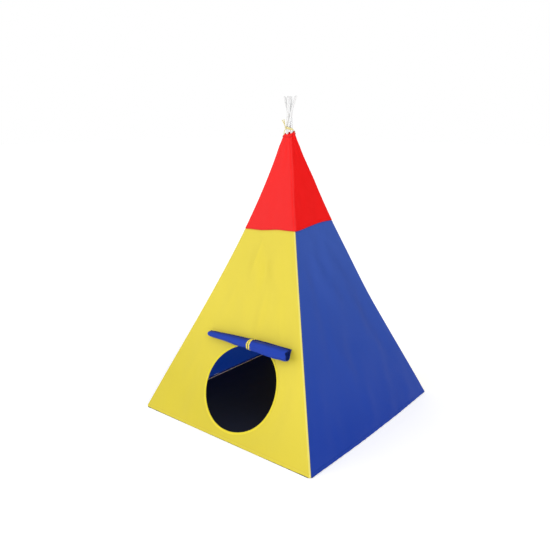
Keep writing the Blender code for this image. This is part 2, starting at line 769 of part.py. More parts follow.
def build_neck_tie():
    """The ribbon round the poles above the neck, and its knot with two short ends."""
    middle = tie_middle_height()

    def place(a, b, rise):
        return Vector((a, b, middle + rise))

    ribbon_loop(tie_path(), place, TIE_HEIGHT, RIBBON, "neck_tie", CREAM)

    between = pole_point(KNOT_CORNERS[0], middle) + pole_point(KNOT_CORNERS[1], middle)
    facing = Vector((between.x, between.y, 0)).normalized()
    aside = UP.cross(facing)
    loop_reach = max(Vector((a, b, 0)).dot(facing) for a, b in tie_path()) + RIBBON / 2
    knot = facing * (loop_reach + SEWN_GAP + KNOT_BEND_RADIUS + KNOT_CLOTH / 2) + UP * middle
    front_tip = knot + UP * TIE_END_LENGTH + facing * TIE_END_LEAN + aside * TIE_END_SPREAD / 2
    back_tip = knot + UP * TIE_END_LENGTH - aside * TIE_END_SPREAD / 2
    front_top = knot + facing * KNOT_BEND_RADIUS + UP * KNOT_HEIGHT
    back_top = knot - facing * KNOT_BEND_RADIUS + UP * KNOT_HEIGHT
    ribbon_half, knot_half = (TIE_HEIGHT / 2, RIBBON / 2), (KNOT_WIDTH / 2, KNOT_CLOTH / 2)
    stations = [
        (front_tip, *ribbon_half),
        (front_top.lerp(front_tip, TIE_END_BEND_SHARE), *ribbon_half),
        (front_top, *knot_half),
    ]
    for i in range(KNOT_SEGMENTS + 1):
        angle = -math.pi * i / KNOT_SEGMENTS
        bend = (facing * math.cos(angle) + UP * math.sin(angle)) * KNOT_BEND_RADIUS
        stations.append((knot + bend, *knot_half))
    stations += [
        (back_top, *knot_half),
        (back_top.lerp(back_tip, TIE_END_BEND_SHARE), *ribbon_half),
        (back_tip, *ribbon_half),
    ]
    rings = []
    for i, (centre, wide, thick) in enumerate(stations):
        before = stations[max(i - 1, 0)][0]
        after = stations[min(i + 1, len(stations) - 1)][0]
        run = (after - before).normalized()
        through = run.cross(aside).normalized()
        level = through.cross(run)
        rings.append([
            centre + level * wide + through * thick, centre - level * wide + through * thick,
            centre - level * wide - through * thick, centre + level * wide - through * thick,
        ])
    loft(rings, "neck_tie_ends", CREAM)


def hang_on_axis(name, place, pieces):
    """An empty on a hinge's axis, with the pieces that turn about it as its children."""
    axis = bpy.data.objects.new(name, None)
    axis.location = place
    bpy.context.scene.collection.objects.link(axis)
    for piece in pieces:
        piece.parent = axis
        piece.matrix_parent_inverse = Matrix.Translation(-place)


def hang_moving_pieces():
    """The left and right sides turn about the poles' crossing, and the rolled flap about its sewn edge."""
    for side in ("left", "right"):
        starts = tuple(place + side + "_" for place in ("", "front_", "back_"))
        pieces = [obj for obj in bpy.data.objects if obj.name.startswith(starts)]
        hang_on_axis(side + "_side_fold", UP * CROSSING_HEIGHT, pieces)
    pieces = [bpy.data.objects["door_flap"], bpy.data.objects["door_tie"]]
    sewn_edge = flap_point(0.0, SEWN_GAP + RIBBON / 2, 2 * RIBBON)
    hang_on_axis("door_flap_swing", sewn_edge, pieces)


def main():
    clear_scene()
    lower_panels = build_cover()
    cut_door(lower_panels[0])
    build_neck_casing()
    build_floor()
    for corner in range(4):
        build_pole(corner)
    build_door_binding()
    build_door_flap()
    build_door_tie()
    build_neck_tie()
    hang_moving_pieces()


main()
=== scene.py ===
"""A kids' play teepee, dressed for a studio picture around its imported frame.

Lengths are metres, +Z up, with the door towards -Y. TentForm holds the lines that everything follows. Each
class after it is one sub-assembly: its fields are its sizes, and its methods build and dress its pieces.
"""

import logging
import math
from dataclasses import dataclass
from enum import Enum
from typing import Callable, Sequence

import bmesh
import bpy
import numpy as np
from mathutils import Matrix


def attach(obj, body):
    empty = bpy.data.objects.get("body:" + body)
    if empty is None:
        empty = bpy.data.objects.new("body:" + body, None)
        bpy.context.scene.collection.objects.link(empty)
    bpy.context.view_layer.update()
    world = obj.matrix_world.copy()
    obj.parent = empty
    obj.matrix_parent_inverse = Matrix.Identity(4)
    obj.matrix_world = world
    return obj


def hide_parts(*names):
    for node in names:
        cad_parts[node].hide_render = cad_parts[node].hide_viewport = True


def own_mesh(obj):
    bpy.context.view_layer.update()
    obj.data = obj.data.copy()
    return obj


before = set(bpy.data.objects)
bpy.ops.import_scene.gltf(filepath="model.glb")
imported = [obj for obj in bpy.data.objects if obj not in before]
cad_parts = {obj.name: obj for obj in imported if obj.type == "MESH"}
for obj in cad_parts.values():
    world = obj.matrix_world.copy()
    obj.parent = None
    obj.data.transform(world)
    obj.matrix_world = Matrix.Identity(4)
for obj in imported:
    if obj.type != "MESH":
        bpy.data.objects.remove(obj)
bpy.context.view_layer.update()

LOG = logging.getLogger("teepee")

COVER_BODY = "cover_and_floor"
FLAP_BODY = "rolled_flap"
UP = np.array((0.0, 0.0, 1.0))
TAU = math.tau

Colour = tuple[float, float, float]


class Side(Enum):
    """A side of the tent, in the order of the walk round it."""

    FRONT = 0
    RIGHT = 1
    BACK = 2
    LEFT = 3

    @property
    def label(self) -> str:
        """The side's name in the frame's node names."""
        return self.name.lower()

    @property
    def outward(self) -> np.ndarray:
        """Level, away from the tent's middle."""
        return np.array(((0, -1, 0), (1, 0, 0), (0, 1, 0), (-1, 0, 0))[self.value], dtype=float)

    @property
    def along(self) -> np.ndarray:
        """Level, to the right of someone who faces the side."""
        return np.array(((1, 0, 0), (0, 1, 0), (-1, 0, 0), (0, -1, 0))[self.value], dtype=float)

    @property
    def body(self) -> str:
        """The body that the side's cloth moves with."""
        return {Side.LEFT: "left_side", Side.RIGHT: "right_side"}.get(self, COVER_BODY)


class Corner(Enum):
    """A corner of the tent. A side runs from the corner of its own number to the next."""

    FRONT_LEFT = 0
    FRONT_RIGHT = 1
    BACK_RIGHT = 2
    BACK_LEFT = 3

    @property
    def label(self) -> str:
        """The corner's name in the frame's node names."""
        return self.name.lower()

    @property
    def signs(self) -> tuple[int, int]:
        """Which way the corner lies along X and along Y."""
        return ((-1, -1), (1, -1), (1, 1), (-1, 1))[self.value]

    @property
    def body(self) -> str:
        """The body that the corner's pole moves with."""
        return "left_side" if self.signs[0] < 0 else "right_side"


class Edge(Enum):
    """How a side's cloth ends at a corner: wrapped over it, or tucked under its neighbour's wrap."""

    WRAP = "wrap"
    TUCK = "tuck"


def smooth(value: np.ndarray | float, low: float, high: float) -> np.ndarray:
    """Rises smoothly from 0 at low to 1 at high.

    Args:
        value: Where to read the step.
        low: Where it starts.
        high: Where it ends, which may be below low.

    Returns:
        The step's height at each value.
    """
    share = np.clip((np.asarray(value, dtype=float) - low) / (high - low), 0.0, 1.0)
    return share * share * (3 - 2 * share)


def unit(vectors: np.ndarray) -> np.ndarray:
    """The vectors along the last axis, each one long."""
    return vectors / np.maximum(np.linalg.norm(vectors, axis=-1, keepdims=True), 1e-12)


@dataclass(frozen=True)
class TentForm:
    """The cover's and the poles' lines at rest."""

    base_side: float = 1.000
    neck_side: float = 0.0435
    neck_height: float = 1.295
    bow: float = 0.029
    bow_skew: float = 0.6
    seam_height: float = 0.888
    seam_rise: float = 0.031
    neck_draw: float = 0.0022
    neck_dips: tuple[float, float, float, float] = (0.000, -0.001, 0.012, 0.006)
    neck_sags: tuple[float, float, float, float] = (0.002, 0.001, 0.001, 0.001)
    base_bows: tuple[float, float, float, float] = (0.002, 0.011, 0.004, 0.002)
    pull: float = 0.0095
    corner_radius: float = 0.0096
    pole_radius: float = 0.00525
    pole_inset: float = 0.00905
    pole_gap: float = 0.0003
    crossing_height: float = 1.350
    tip_height: float = 1.450
    tip_slope: float = 0.110
    tip_flares: tuple[float, float, float, float] = (0.014, 0.0, 0.005, 0.0)
    free_height: float = 1.040
    twist_low: float = 1.170
    twist_top: float = 1.310

    def half_width(self, z: np.ndarray | float) -> np.ndarray:
        """Half the cover's outer width at a height: a straight taper, bowed in and gathered at the neck.

        Args:
            z: The height.

        Returns:
            Half the width there.
        """
        share = np.asarray(z, dtype=float) / self.neck_height
        straight = (self.base_side + (self.neck_side - self.base_side) * share) / 2
        drawn = self.neck_draw * smooth(z, 1.235, 1.283)
        return straight - self.bow * 4 * share * (1 - share) * (1 + self.bow_skew * (2 * share - 1)) - drawn

    def slope(self, z: np.ndarray | float) -> np.ndarray:
        """How fast the half width grows with the height.

        Args:
            z: The height.

        Returns:
            The half width's slope there, without the gathering at the neck.
        """
        share = np.asarray(z, dtype=float) / self.neck_height
        skew = 1 + self.bow_skew * (2 * share - 1)
        bow_slope = 4 * ((1 - 2 * share) * skew + 2 * self.bow_skew * share * (1 - share))
        return ((self.neck_side - self.base_side) / 2 - self.bow * bow_slope) / self.neck_height

    def lean(self, z: np.ndarray | float) -> np.ndarray:
        """How much longer a level step through the leaning cloth is than one square to it."""
        return np.hypot(1.0, self.slope(z))

    def axes(self, side: Side, z: float) -> tuple[np.ndarray, np.ndarray]:
        """The directions out of a side's cloth and up along it.

        Args:
            side: The side of the tent.
            z: The height.

        Returns:
            The outward and the upward direction.
        """
        tilt = math.atan(-float(self.slope(z)))
        outward = side.outward * math.cos(tilt) + UP * math.sin(tilt)
        return outward, UP * math.cos(tilt) - side.outward * math.sin(tilt)

    def across(self, side: Side, s: np.ndarray, heights: Sequence[float]) -> np.ndarray:
        """A height that runs straight from a side's first corner, s = -1, to its last, s = 1."""
        first, last = heights[side.value], heights[(side.value + 1) % 4]
        return first + (last - first) * (np.clip(s, -1.0, 1.0) + 1) / 2

    def seam(self, side: Side, s: np.ndarray) -> np.ndarray:
        """The height of the seam between a side's lower cloth and its cap.

        Args:
            side: The side of the tent.
            s: The place across it, -1 to 1.

        Returns:
            The seam's height, which waves a little about the straight line between the corners.
        """
        s = np.clip(s, -1.0, 1.0)
        heights = [self.seam_height + self.seam_rise * sum(corner.signs) / 4 for corner in Corner]
        straight = self.across(side, s, heights)
        if side is Side.RIGHT:
            return straight + 0.0036 * (1 - s**2) * (1 + 0.9 * s)
        if side is Side.LEFT:
            return straight + 0.0030 * (1 - s**2) * (1 - 0.4 * s)
        turn = 1.0 if side is Side.FRONT else -0.7
        return straight + turn * 0.0030 * np.sin(math.pi * s) * (1 - s**2)

    def neck(self, side: Side, s: np.ndarray) -> np.ndarray:
        """The height of the cover's top edge across a side."""
        heights = [self.neck_height + dip for dip in self.neck_dips]
        return self.across(side, s, heights) - self.neck_sags[side.value] * (1 - np.clip(s, -1, 1) ** 2)

    def base_bow(self, side: Side, s: np.ndarray) -> np.ndarray:
        """How far the hem bows out of the straight line between two corners."""
        return self.base_bows[side.value] * (1 - np.clip(s, -1, 1) ** 2)

    def pulled(self, points: np.ndarray) -> np.ndarray:
        """Lets the cloth stand off round the back right corner, where it hangs slack about its pole.

        Args:
            points: Points of the cover.

        Returns:
            The points, moved outwards near that corner.
        """
        z = points[..., 2]
        away = np.linalg.norm(points[..., :2] - self.half_width(z)[..., None], axis=-1)
        amount = self.pull * smooth(z, 0.48, 0.80) * smooth(z, 1.24, 1.08) * np.exp(-((away / 0.09) ** 2))
        return points + amount[..., None] * np.array((1.0, 1.0, 0.0)) / math.sqrt(2)

    def place(self, side: Side, u: np.ndarray, out: np.ndarray, z: np.ndarray) -> np.ndarray:
        """Points from places along a side, out from the middle and up."""
        u, out, z = np.broadcast_arrays(u, out, z)
        return u[..., None] * side.along + out[..., None] * side.outward + z[..., None] * UP

    def pole_reach(self, z: np.ndarray) -> np.ndarray:
        """The pole's distance from the middle on its diagonal: in the corner, then eased to its crossing.

        Args:
            z: The heights.

        Returns:
            The distance at each height, below zero past the crossing.
        """
        root = math.sqrt(2)

        def in_corner(height: np.ndarray | float) -> np.ndarray:
            """The distance where the pole lies in the cover's corner."""
            return root * (self.half_width(height) - self.pole_inset * self.lean(height))

        end_slope = -root * self.tip_slope
        span = self.crossing_height - self.free_height
        step = 2 * self.pole_radius
        start_slope = (in_corner(self.free_height) - in_corner(self.free_height - step)) / step
        share = np.clip((z - self.free_height) / span, 0.0, 1.0)
        eased = in_corner(self.free_height) * (2 * share**3 - 3 * share**2 + 1)
        eased = eased + start_slope * span * (share**3 - 2 * share**2 + share)
        eased = eased + end_slope * span * (share**3 - share**2)
        above = end_slope * (z - self.crossing_height)
        free = np.where(z >= self.crossing_height, above, eased)
        return np.where(z <= self.free_height, in_corner(z), free)

    def pole_point(self, corner: Corner, z: np.ndarray | float) -> np.ndarray:
        """The middle of a corner's pole, stepped aside where the poles cross.

        Args:
            corner: The pole's corner.
            z: The heights.

        Returns:
            A point for each height.
        """
        z = np.asarray(z, dtype=float)
        diagonal = np.array((*corner.signs, 0.0)) / math.sqrt(2)
        sideways = np.cross(UP, diagonal)
        clear = (2 * self.pole_radius + 2 * self.pole_gap) / math.sqrt(2)
        aside = clear * smooth(z, self.twist_low, self.twist_top)
        above = np.maximum(z - self.crossing_height, 0.0) / (self.tip_height - self.crossing_height)
        flare = -corner.signs[0] * self.tip_flares[corner.value] * above**2
        point = self.pole_reach(z)[..., None] * diagonal + aside[..., None] * sideways
        return point + flare[..., None] * np.array((1.0, 0.0, 0.0)) + z[..., None] * UP


@dataclass(frozen=True)
class Crease:
    """A soft fold across a side, from one place to another, given along the side and up."""

    start: tuple[float, float]
    end: tuple[float, float]
    width: float
    height: float

    def relief(self, u: np.ndarray, z: np.ndarray) -> np.ndarray:
        """How far the fold stands out of the cloth, or into it where its height is negative.

        Args:
            u: Places along the side.
            z: Their heights.

        Returns:
            The relief at each place.
        """
        run = np.subtract(self.end, self.start)
        length = float(np.hypot(*run))
        share = ((u - self.start[0]) * run[0] + (z - self.start[1]) * run[1]) / length**2
        away = ((u - self.start[0]) * run[1] - (z - self.start[1]) * run[0]) / length
        fade = np.sin(math.pi * np.clip(share, 0.0, 1.0)) ** 0.8
        return self.height * fade * np.exp(-((away / self.width) ** 2))


@dataclass(frozen=True)
class Waves:
    """A seeded sum of slanted waves, for cloth that is never quite flat."""

    seed: int
    longest: float
    shortest: float
    height: float
    upright: float = 0.5
    count: int = 10

    def relief(self, u: np.ndarray, z: np.ndarray) -> np.ndarray:
        """The waves' sum. The less upright, the more they run up the cloth.

        Args:
            u: Places along the cloth.
            z: Their heights.

        Returns:
            The waves' height at each place.
        """
        rng = np.random.default_rng(self.seed)
        lengths = np.geomspace(self.longest, self.shortest, self.count)
        turns = rng.uniform(0, TAU, self.count)
        phases = rng.uniform(0, TAU, self.count)
        total = np.zeros(np.broadcast(u, z).shape)
        for length, turn, phase in zip(lengths, turns, phases):
            run = u * math.cos(turn) + self.upright * z * math.sin(turn)
            total += length * np.sin(TAU * run / length + phase)
        return self.height * total / math.sqrt(float(np.sum(lengths**2)))


def make_object(
    name: str,
    points: np.ndarray,
    faces: Sequence[Sequence[int]] | np.ndarray,
    finish: bpy.types.Material,
    uv: np.ndarray | None = None,
    shade: np.ndarray | None = None,
    inside: np.ndarray | None = None,
    turn_out: bool = False,
    sharp: float = 40.0,
) -> bpy.types.Object:
    """Makes a shaded mesh object at the origin.

    Args:
        name: The piece's name.
        points: Its vertices, one row each.
        faces: Its faces, as vertex numbers.
        finish: Its material.
        uv: Each vertex's place on the cloth, in metres.
        shade: Each vertex's share of painted shade, as along a seam, or below 0 for a painted highlight.
        inside: 1 for each vertex on a sheet's inner face.
        turn_out: Whether its faces still have to be turned outwards.
        sharp: The angle in degrees past which an edge stays crisp.

    Returns:
        The new object.
    """
    mesh = bpy.data.meshes.new(name)
    mesh.from_pydata(np.asarray(points, dtype=float).tolist(), [], [list(map(int, face)) for face in faces])
    if turn_out:
        bm = bmesh.new()
        bm.from_mesh(mesh)
        bmesh.ops.recalc_face_normals(bm, faces=bm.faces)
        bm.to_mesh(mesh)
        bm.free()
    corners = np.empty(len(mesh.loops), dtype=np.int32)
    mesh.loops.foreach_get("vertex_index", corners)
    flat = np.zeros((len(points), 2)) if uv is None else np.asarray(uv, dtype=float)
    layer = mesh.uv_layers.new(name="cloth")
    layer.data.foreach_set("uv", flat[corners].astype(np.float32).ravel())
    for label, given in (("seam_shade", shade), ("inner_face", inside)):
        values = np.zeros(len(points)) if given is None else np.asarray(given, dtype=float)
        mesh.attributes.new(label, "FLOAT", "POINT").data.foreach_set("value", values.astype(np.float32))
    mesh.shade_smooth()
    mesh.set_sharp_from_angle(angle=math.radians(sharp))
    mesh.materials.append(finish)
    mesh.update()
    obj = bpy.data.objects.new(name, mesh)
    bpy.context.scene.collection.objects.link(obj)
    return obj


def grid_quads(rows: int, columns: int, closed: bool) -> np.ndarray:
    """The quads of a grid of points. Their normals look along the columns' run crossed with the rows' run.

    Args:
        rows: The grid's rows.
        columns: Its columns.
        closed: Whether the last column meets the first.

    Returns:
        Four point numbers for each quad.
    """
    i, j = np.meshgrid(np.arange(rows - 1), np.arange(columns if closed else columns - 1), indexing="ij")
    after = (j + 1) % columns
    low, high = i * columns, (i + 1) * columns
    return np.stack((low + j, low + after, high + after, high + j), -1).reshape(-1, 4)


def sheet_object(
    name: str,
    surface: np.ndarray,
    cloth: float,
    finish: bpy.types.Material,
    uv: np.ndarray | None = None,
    shade: np.ndarray | None = None,
    closed: bool = False,
    sharp: float = 40.0,
) -> bpy.types.Object:
    """Makes a closed thin sheet from the grid of its outer face.

    Args:
        name: The piece's name.
        surface: Points by row and column.
        cloth: The sheet's thickness, laid behind the grid.
        finish: Its material.
        uv: Places on the cloth by row and column.
        shade: Shares of dark by row and column.
        closed: Whether the last column meets the first.
        sharp: The angle in degrees past which an edge stays crisp.

    Returns:
        The new object.
    """
    rows, columns = surface.shape[:2]
    padded = np.concatenate((surface[:, -1:], surface, surface[:, :1]), 1) if closed else surface
    along = np.gradient(padded, axis=1)
    up = np.gradient(padded, axis=0)
    normal = unit(np.cross(along, up))
    if closed:
        normal = normal[:, 1:-1]
    points = np.concatenate((surface.reshape(-1, 3), (surface - normal * cloth).reshape(-1, 3)))
    quads = grid_quads(rows, columns, closed)
    count = rows * columns
    number = np.arange(count).reshape(rows, columns)
    if closed:
        borders = [np.append(number[0], number[0, 0]), np.append(number[-1], number[-1, 0])[::-1]]
    else:
        around = (number[0, :-1], number[:-1, -1], number[-1, :0:-1], number[:0:-1, 0], [0])
        borders = [np.concatenate(around)]
    rims = [np.stack((b[:-1], b[:-1] + count, b[1:] + count, b[1:]), -1) for b in borders]
    faces = np.concatenate((quads, quads[:, ::-1] + count, *rims))
    flat = None if uv is None else np.tile(uv.reshape(-1, 2), (2, 1))
    dark = None if shade is None else np.tile(shade.reshape(-1), 2)
    inside = np.repeat((0.0, 1.0), count)
    return make_object(name, points, faces, finish, flat, dark, inside, sharp=sharp)


def loft_object(
    name: str,
    rings: np.ndarray,
    finish: bpy.types.Material,
    closed: bool = False,
    shade: np.ndarray | None = None,
    sharp: float = 40.0,
) -> bpy.types.Object:
    """Skins rings of equal count into one closed body, with flat ends unless the rings close on themselves.

    Args:
        name: The piece's name.
        rings: Points by ring.
        finish: Its material.
        closed: Whether the last ring meets the first.
        shade: Shares of dark by ring and point.
        sharp: The angle in degrees past which an edge stays crisp.

    Returns:
        The new object.
    """
    count, width = rings.shape[:2]
    looped = np.concatenate((rings, rings[:1])) if closed else rings
    faces = grid_quads(len(looped), width, True) % (count * width)
    faces = [list(face) for face in faces]
    if not closed:
        faces.append(list(range(width))[::-1])
        faces.append(list(range((count - 1) * width, count * width)))
    run = np.cumsum(np.linalg.norm(np.diff(rings, axis=0, prepend=rings[:1]), axis=-1), axis=0)
    round_run = np.cumsum(np.linalg.norm(np.diff(rings, axis=1, prepend=rings[:, :1]), axis=-1), axis=1)
    uv = np.stack((round_run, run), -1).reshape(-1, 2)
    dark = None if shade is None else shade.reshape(-1)
    return make_object(name, rings.reshape(-1, 3), faces, finish, uv, dark, turn_out=True, sharp=sharp)


RIBBON_OUTLINE = np.array((
    (-1, 0), (-0.93, 1), (-0.4, 1), (0.4, 1), (0.93, 1),
    (1, 0), (0.93, -1), (0.4, -1), (-0.4, -1), (-0.93, -1),
))


def ribbon_object(
    name: str,
    path: np.ndarray,
    facing: np.ndarray,
    width: np.ndarray | float,
    thickness: float,
    finish: bpy.types.Material,
    closed: bool = False,
    cup: float = 0.0,
) -> bpy.types.Object:
    """Sweeps a flat ribbon along a path.

    Args:
        name: The piece's name.
        path: The ribbon's middle line.
        facing: Which way its face looks at each point.
        width: Its width, or one for each point.
        thickness: Its thickness.
        finish: Its material.
        closed: Whether the path closes on itself.
        cup: How far its edges curl away from its face, as a share of its half width.

    Returns:
        The new object.
    """
    if closed:
        tangent = unit(np.roll(path, -1, axis=0) - np.roll(path, 1, axis=0))
    else:
        tangent = unit(np.gradient(path, axis=0))
    across = unit(np.cross(tangent, facing))
    out = unit(np.cross(across, tangent))
    half = np.broadcast_to(np.asarray(width, dtype=float) / 2, (len(path),))
    a = RIBBON_OUTLINE[None, :, 0] * half[:, None]
    b = RIBBON_OUTLINE[None, :, 1] * thickness / 2 - cup * half[:, None] * RIBBON_OUTLINE[None, :, 0] ** 2
    rings = path[:, None] + across[:, None] * a[..., None] + out[:, None] * b[..., None]
    return loft_object(name, rings, finish, closed, sharp=60.0)


@dataclass(frozen=True)
class Mounting:
    """How a piece is carried: its body, the solids it stands for, a slot name, and a keep that gives it its
    own mesh.
    """

    body: str
    slot: str
    replaces: tuple[str, ...] = ()
    keep: float | None = None

    def carry(self, obj: bpy.types.Object) -> bpy.types.Object:
        """Mounts the piece in the frame and reports it.

        Args:
            obj: The finished piece.

        Returns:
            The same piece.
        """
        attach(obj, self.body)
        if self.replaces:
            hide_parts(*self.replaces)
        if self.keep is not None:
            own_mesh(obj)
        LOG.info("%s: %d faces on %s", obj.name, len(obj.data.polygons), self.body)
        return obj


class NodeTree:
    """A short way to write a shader or geometry tree: nodes, links and values in one call."""

    def __init__(self, tree: bpy.types.NodeTree) -> None:
        """Holds the tree that nodes are added to."""
        self.tree = tree

    def add(self, kind: str, label: str = "", **values: object) -> bpy.types.Node:
        """Adds a node.

        Args:
            kind: Blender's name for the node type.
            label: What the node does.
            **values: The node's own properties.

        Returns:
            The new node.
        """
        node = self.tree.nodes.new(kind)
        node.label = label
        for name, value in values.items():
            setattr(node, name, value)
        return node

    def feed(self, node: bpy.types.Node, **inputs: object) -> bpy.types.Node:
        """Sets or links a node's inputs.

        Args:
            node: The node.
            **inputs: Values or sockets, named with _ for a space, or in0, in1 for an input's number.

        Returns:
            The same node.
        """
        for name, value in inputs.items():
            numbered = name.startswith("in") and name[2:].isdigit()
            socket = node.inputs[int(name[2:])] if numbered else node.inputs[name.replace("_", " ")]
            if isinstance(value, bpy.types.NodeSocket):
                self.tree.links.new(value, socket)
            else:
                socket.default_value = value
        return node

    def math(
        self, operation: str, first: object, second: object = 0.0, third: object = 0.0
    ) -> bpy.types.NodeSocket:
        """Adds a Math node and gives its result."""
        node = self.feed(self.add("ShaderNodeMath", operation=operation), in0=first, in1=second, in2=third)
        return node.outputs[0]

    def mix(self, share: object, first: object, second: object, blend: str = "MIX") -> bpy.types.NodeSocket:
        """Adds a colour mix and gives its result."""
        node = self.add("ShaderNodeMix", data_type="RGBA", blend_type=blend)
        return self.feed(node, in0=share, in6=first, in7=second).outputs[2]


def new_group(
    name: str, inputs: dict[str, tuple[str, object]], outputs: dict[str, str]
) -> bpy.types.NodeTree:
    """Makes an empty shader group.

    Args:
        name: The group's name.
        inputs: Each input's socket type and standing value, by name.
        outputs: Each output's socket type, by name.

    Returns:
        The group's tree.
    """
    group = bpy.data.node_groups.new(name, "ShaderNodeTree")
    for label, (kind, value) in inputs.items():
        socket = group.interface.new_socket(label, in_out="INPUT", socket_type=kind)
        if value is not None:
            socket.default_value = value
    for label, kind in outputs.items():
        group.interface.new_socket(label, in_out="OUTPUT", socket_type=kind)
    return group


class Effects:
    """Shader groups that the finishes share, each built once."""

    def __init__(self) -> None:
        """Builds the groups."""
        self.weave = self._weave()
        self.rumple = self._rumple()
        self.seams = self._seams()
        self.inner = self._inner()

    def _weave(self) -> bpy.types.NodeTree:
        """Plain weave from a place on the cloth: the threads' height, and their lightness.

        Returns:
            The group's tree.
        """
        group = new_group(
            "plain_weave",
            {"Cloth": ("NodeSocketVector", None), "Pitch": ("NodeSocketFloat", 0.001)},
            {"Height": "NodeSocketFloat", "Tone": "NodeSocketFloat"},
        )
        tree = NodeTree(group)
        given = tree.add("NodeGroupInput")
        parts = tree.feed(tree.add("ShaderNodeSeparateXYZ"), Vector=given.outputs["Cloth"])
        turns = tree.math("DIVIDE", TAU, given.outputs["Pitch"])
        warp = tree.math("SINE", tree.math("MULTIPLY", parts.outputs[0], turns))
        weft = tree.math("SINE", tree.math("MULTIPLY", parts.outputs[1], turns))
        height = tree.math("MULTIPLY_ADD", tree.math("MULTIPLY", warp, weft), 0.5, 0.5)
        slub = tree.add("ShaderNodeTexNoise", "uneven threads")
        stretched = tree.add("ShaderNodeVectorMath", operation="MULTIPLY")
        tree.feed(stretched, in0=given.outputs["Cloth"], in1=(900.0, 45.0, 1.0))
        tree.feed(slub, Vector=stretched.outputs[0], Scale=1.0, Detail=1.0)
        tone = tree.math("MULTIPLY_ADD", slub.outputs[0], 0.6, tree.math("MULTIPLY", height, 0.4))
        tree.feed(tree.add("NodeGroupOutput"), Height=height, Tone=tone)
        return group

    def _rumple(self) -> bpy.types.NodeTree:
        """Small creases and slow patches over the cloth, from the piece's own coordinates.

        Returns:
            The group's tree.
        """
        group = new_group(
            "rumpled_cloth",
            {"Place": ("NodeSocketVector", None), "Scale": ("NodeSocketFloat", 9.0)},
            {"Height": "NodeSocketFloat", "Patch": "NodeSocketFloat"},
        )
        tree = NodeTree(group)
        given = tree.add("NodeGroupInput")
        squeezed = tree.add("ShaderNodeVectorMath", operation="MULTIPLY")
        tree.feed(squeezed, in0=given.outputs["Place"], in1=(1.0, 1.0, 0.45))
        fine = tree.add("ShaderNodeTexNoise", "fine creases", noise_type="RIDGED_MULTIFRACTAL")
        tree.feed(fine, Vector=squeezed.outputs[0], Scale=given.outputs["Scale"], Detail=4.0, Roughness=0.45)
        slow = tree.add("ShaderNodeTexNoise", "slow patches")
        slow_scale = tree.math("MULTIPLY", given.outputs["Scale"], 0.4)
        tree.feed(slow, Vector=squeezed.outputs[0], Scale=slow_scale, Detail=2.0)
        tree.feed(tree.add("NodeGroupOutput"), Height=fine.outputs[0], Patch=slow.outputs[0])
        return group

    def _seams(self) -> bpy.types.NodeTree:
        """Paints shade along the seams by the mesh's share of dark, and a highlight where the share is below
        0.

        Returns:
            The group's tree.
        """
        group = new_group(
            "seam_shade",
            {"Color": ("NodeSocketColor", None), "Depth": ("NodeSocketFloat", 0.6)},
            {"Color": "NodeSocketColor"},
        )
        tree = NodeTree(group)
        given = tree.add("NodeGroupInput")
        shade = tree.add("ShaderNodeAttribute", attribute_name="seam_shade")
        share = tree.math("MULTIPLY", shade.outputs["Fac"], given.outputs["Depth"])
        # Painted shade: the colour multiplied darker, blended in by the share of dark.
        dark = tree.mix(1.0, given.outputs["Color"], (0.10, 0.10, 0.14, 1.0), "MULTIPLY")
        darker = tree.mix(tree.math("MAXIMUM", share, 0.0), given.outputs["Color"], dark)
        # Painted highlight: a pale yellow blended in where the share of dark is below 0.
        painted_highlight = tree.math("MAXIMUM", tree.math("MULTIPLY", shade.outputs["Fac"], -1.0), 0.0)
        paler = tree.mix(painted_highlight, darker, (0.93, 0.86, 0.34, 1.0))
        tree.feed(tree.add("NodeGroupOutput"), Color=paler)
        return group

    def _inner(self) -> bpy.types.NodeTree:
        """A painted glow for daylight through thin cloth: its colour as emission on the inner face, black
        outside.

        Returns:
            The group's tree.
        """
        group = new_group(
            "light_through", {"Color": ("NodeSocketColor", None)}, {"Color": "NodeSocketColor"}
        )
        tree = NodeTree(group)
        given = tree.add("NodeGroupInput")
        inner = tree.add("ShaderNodeAttribute", attribute_name="inner_face")
        glow = tree.mix(inner.outputs["Fac"], (0.0, 0.0, 0.0, 1.0), given.outputs["Color"])
        tree.feed(tree.add("NodeGroupOutput"), Color=glow)
        return group


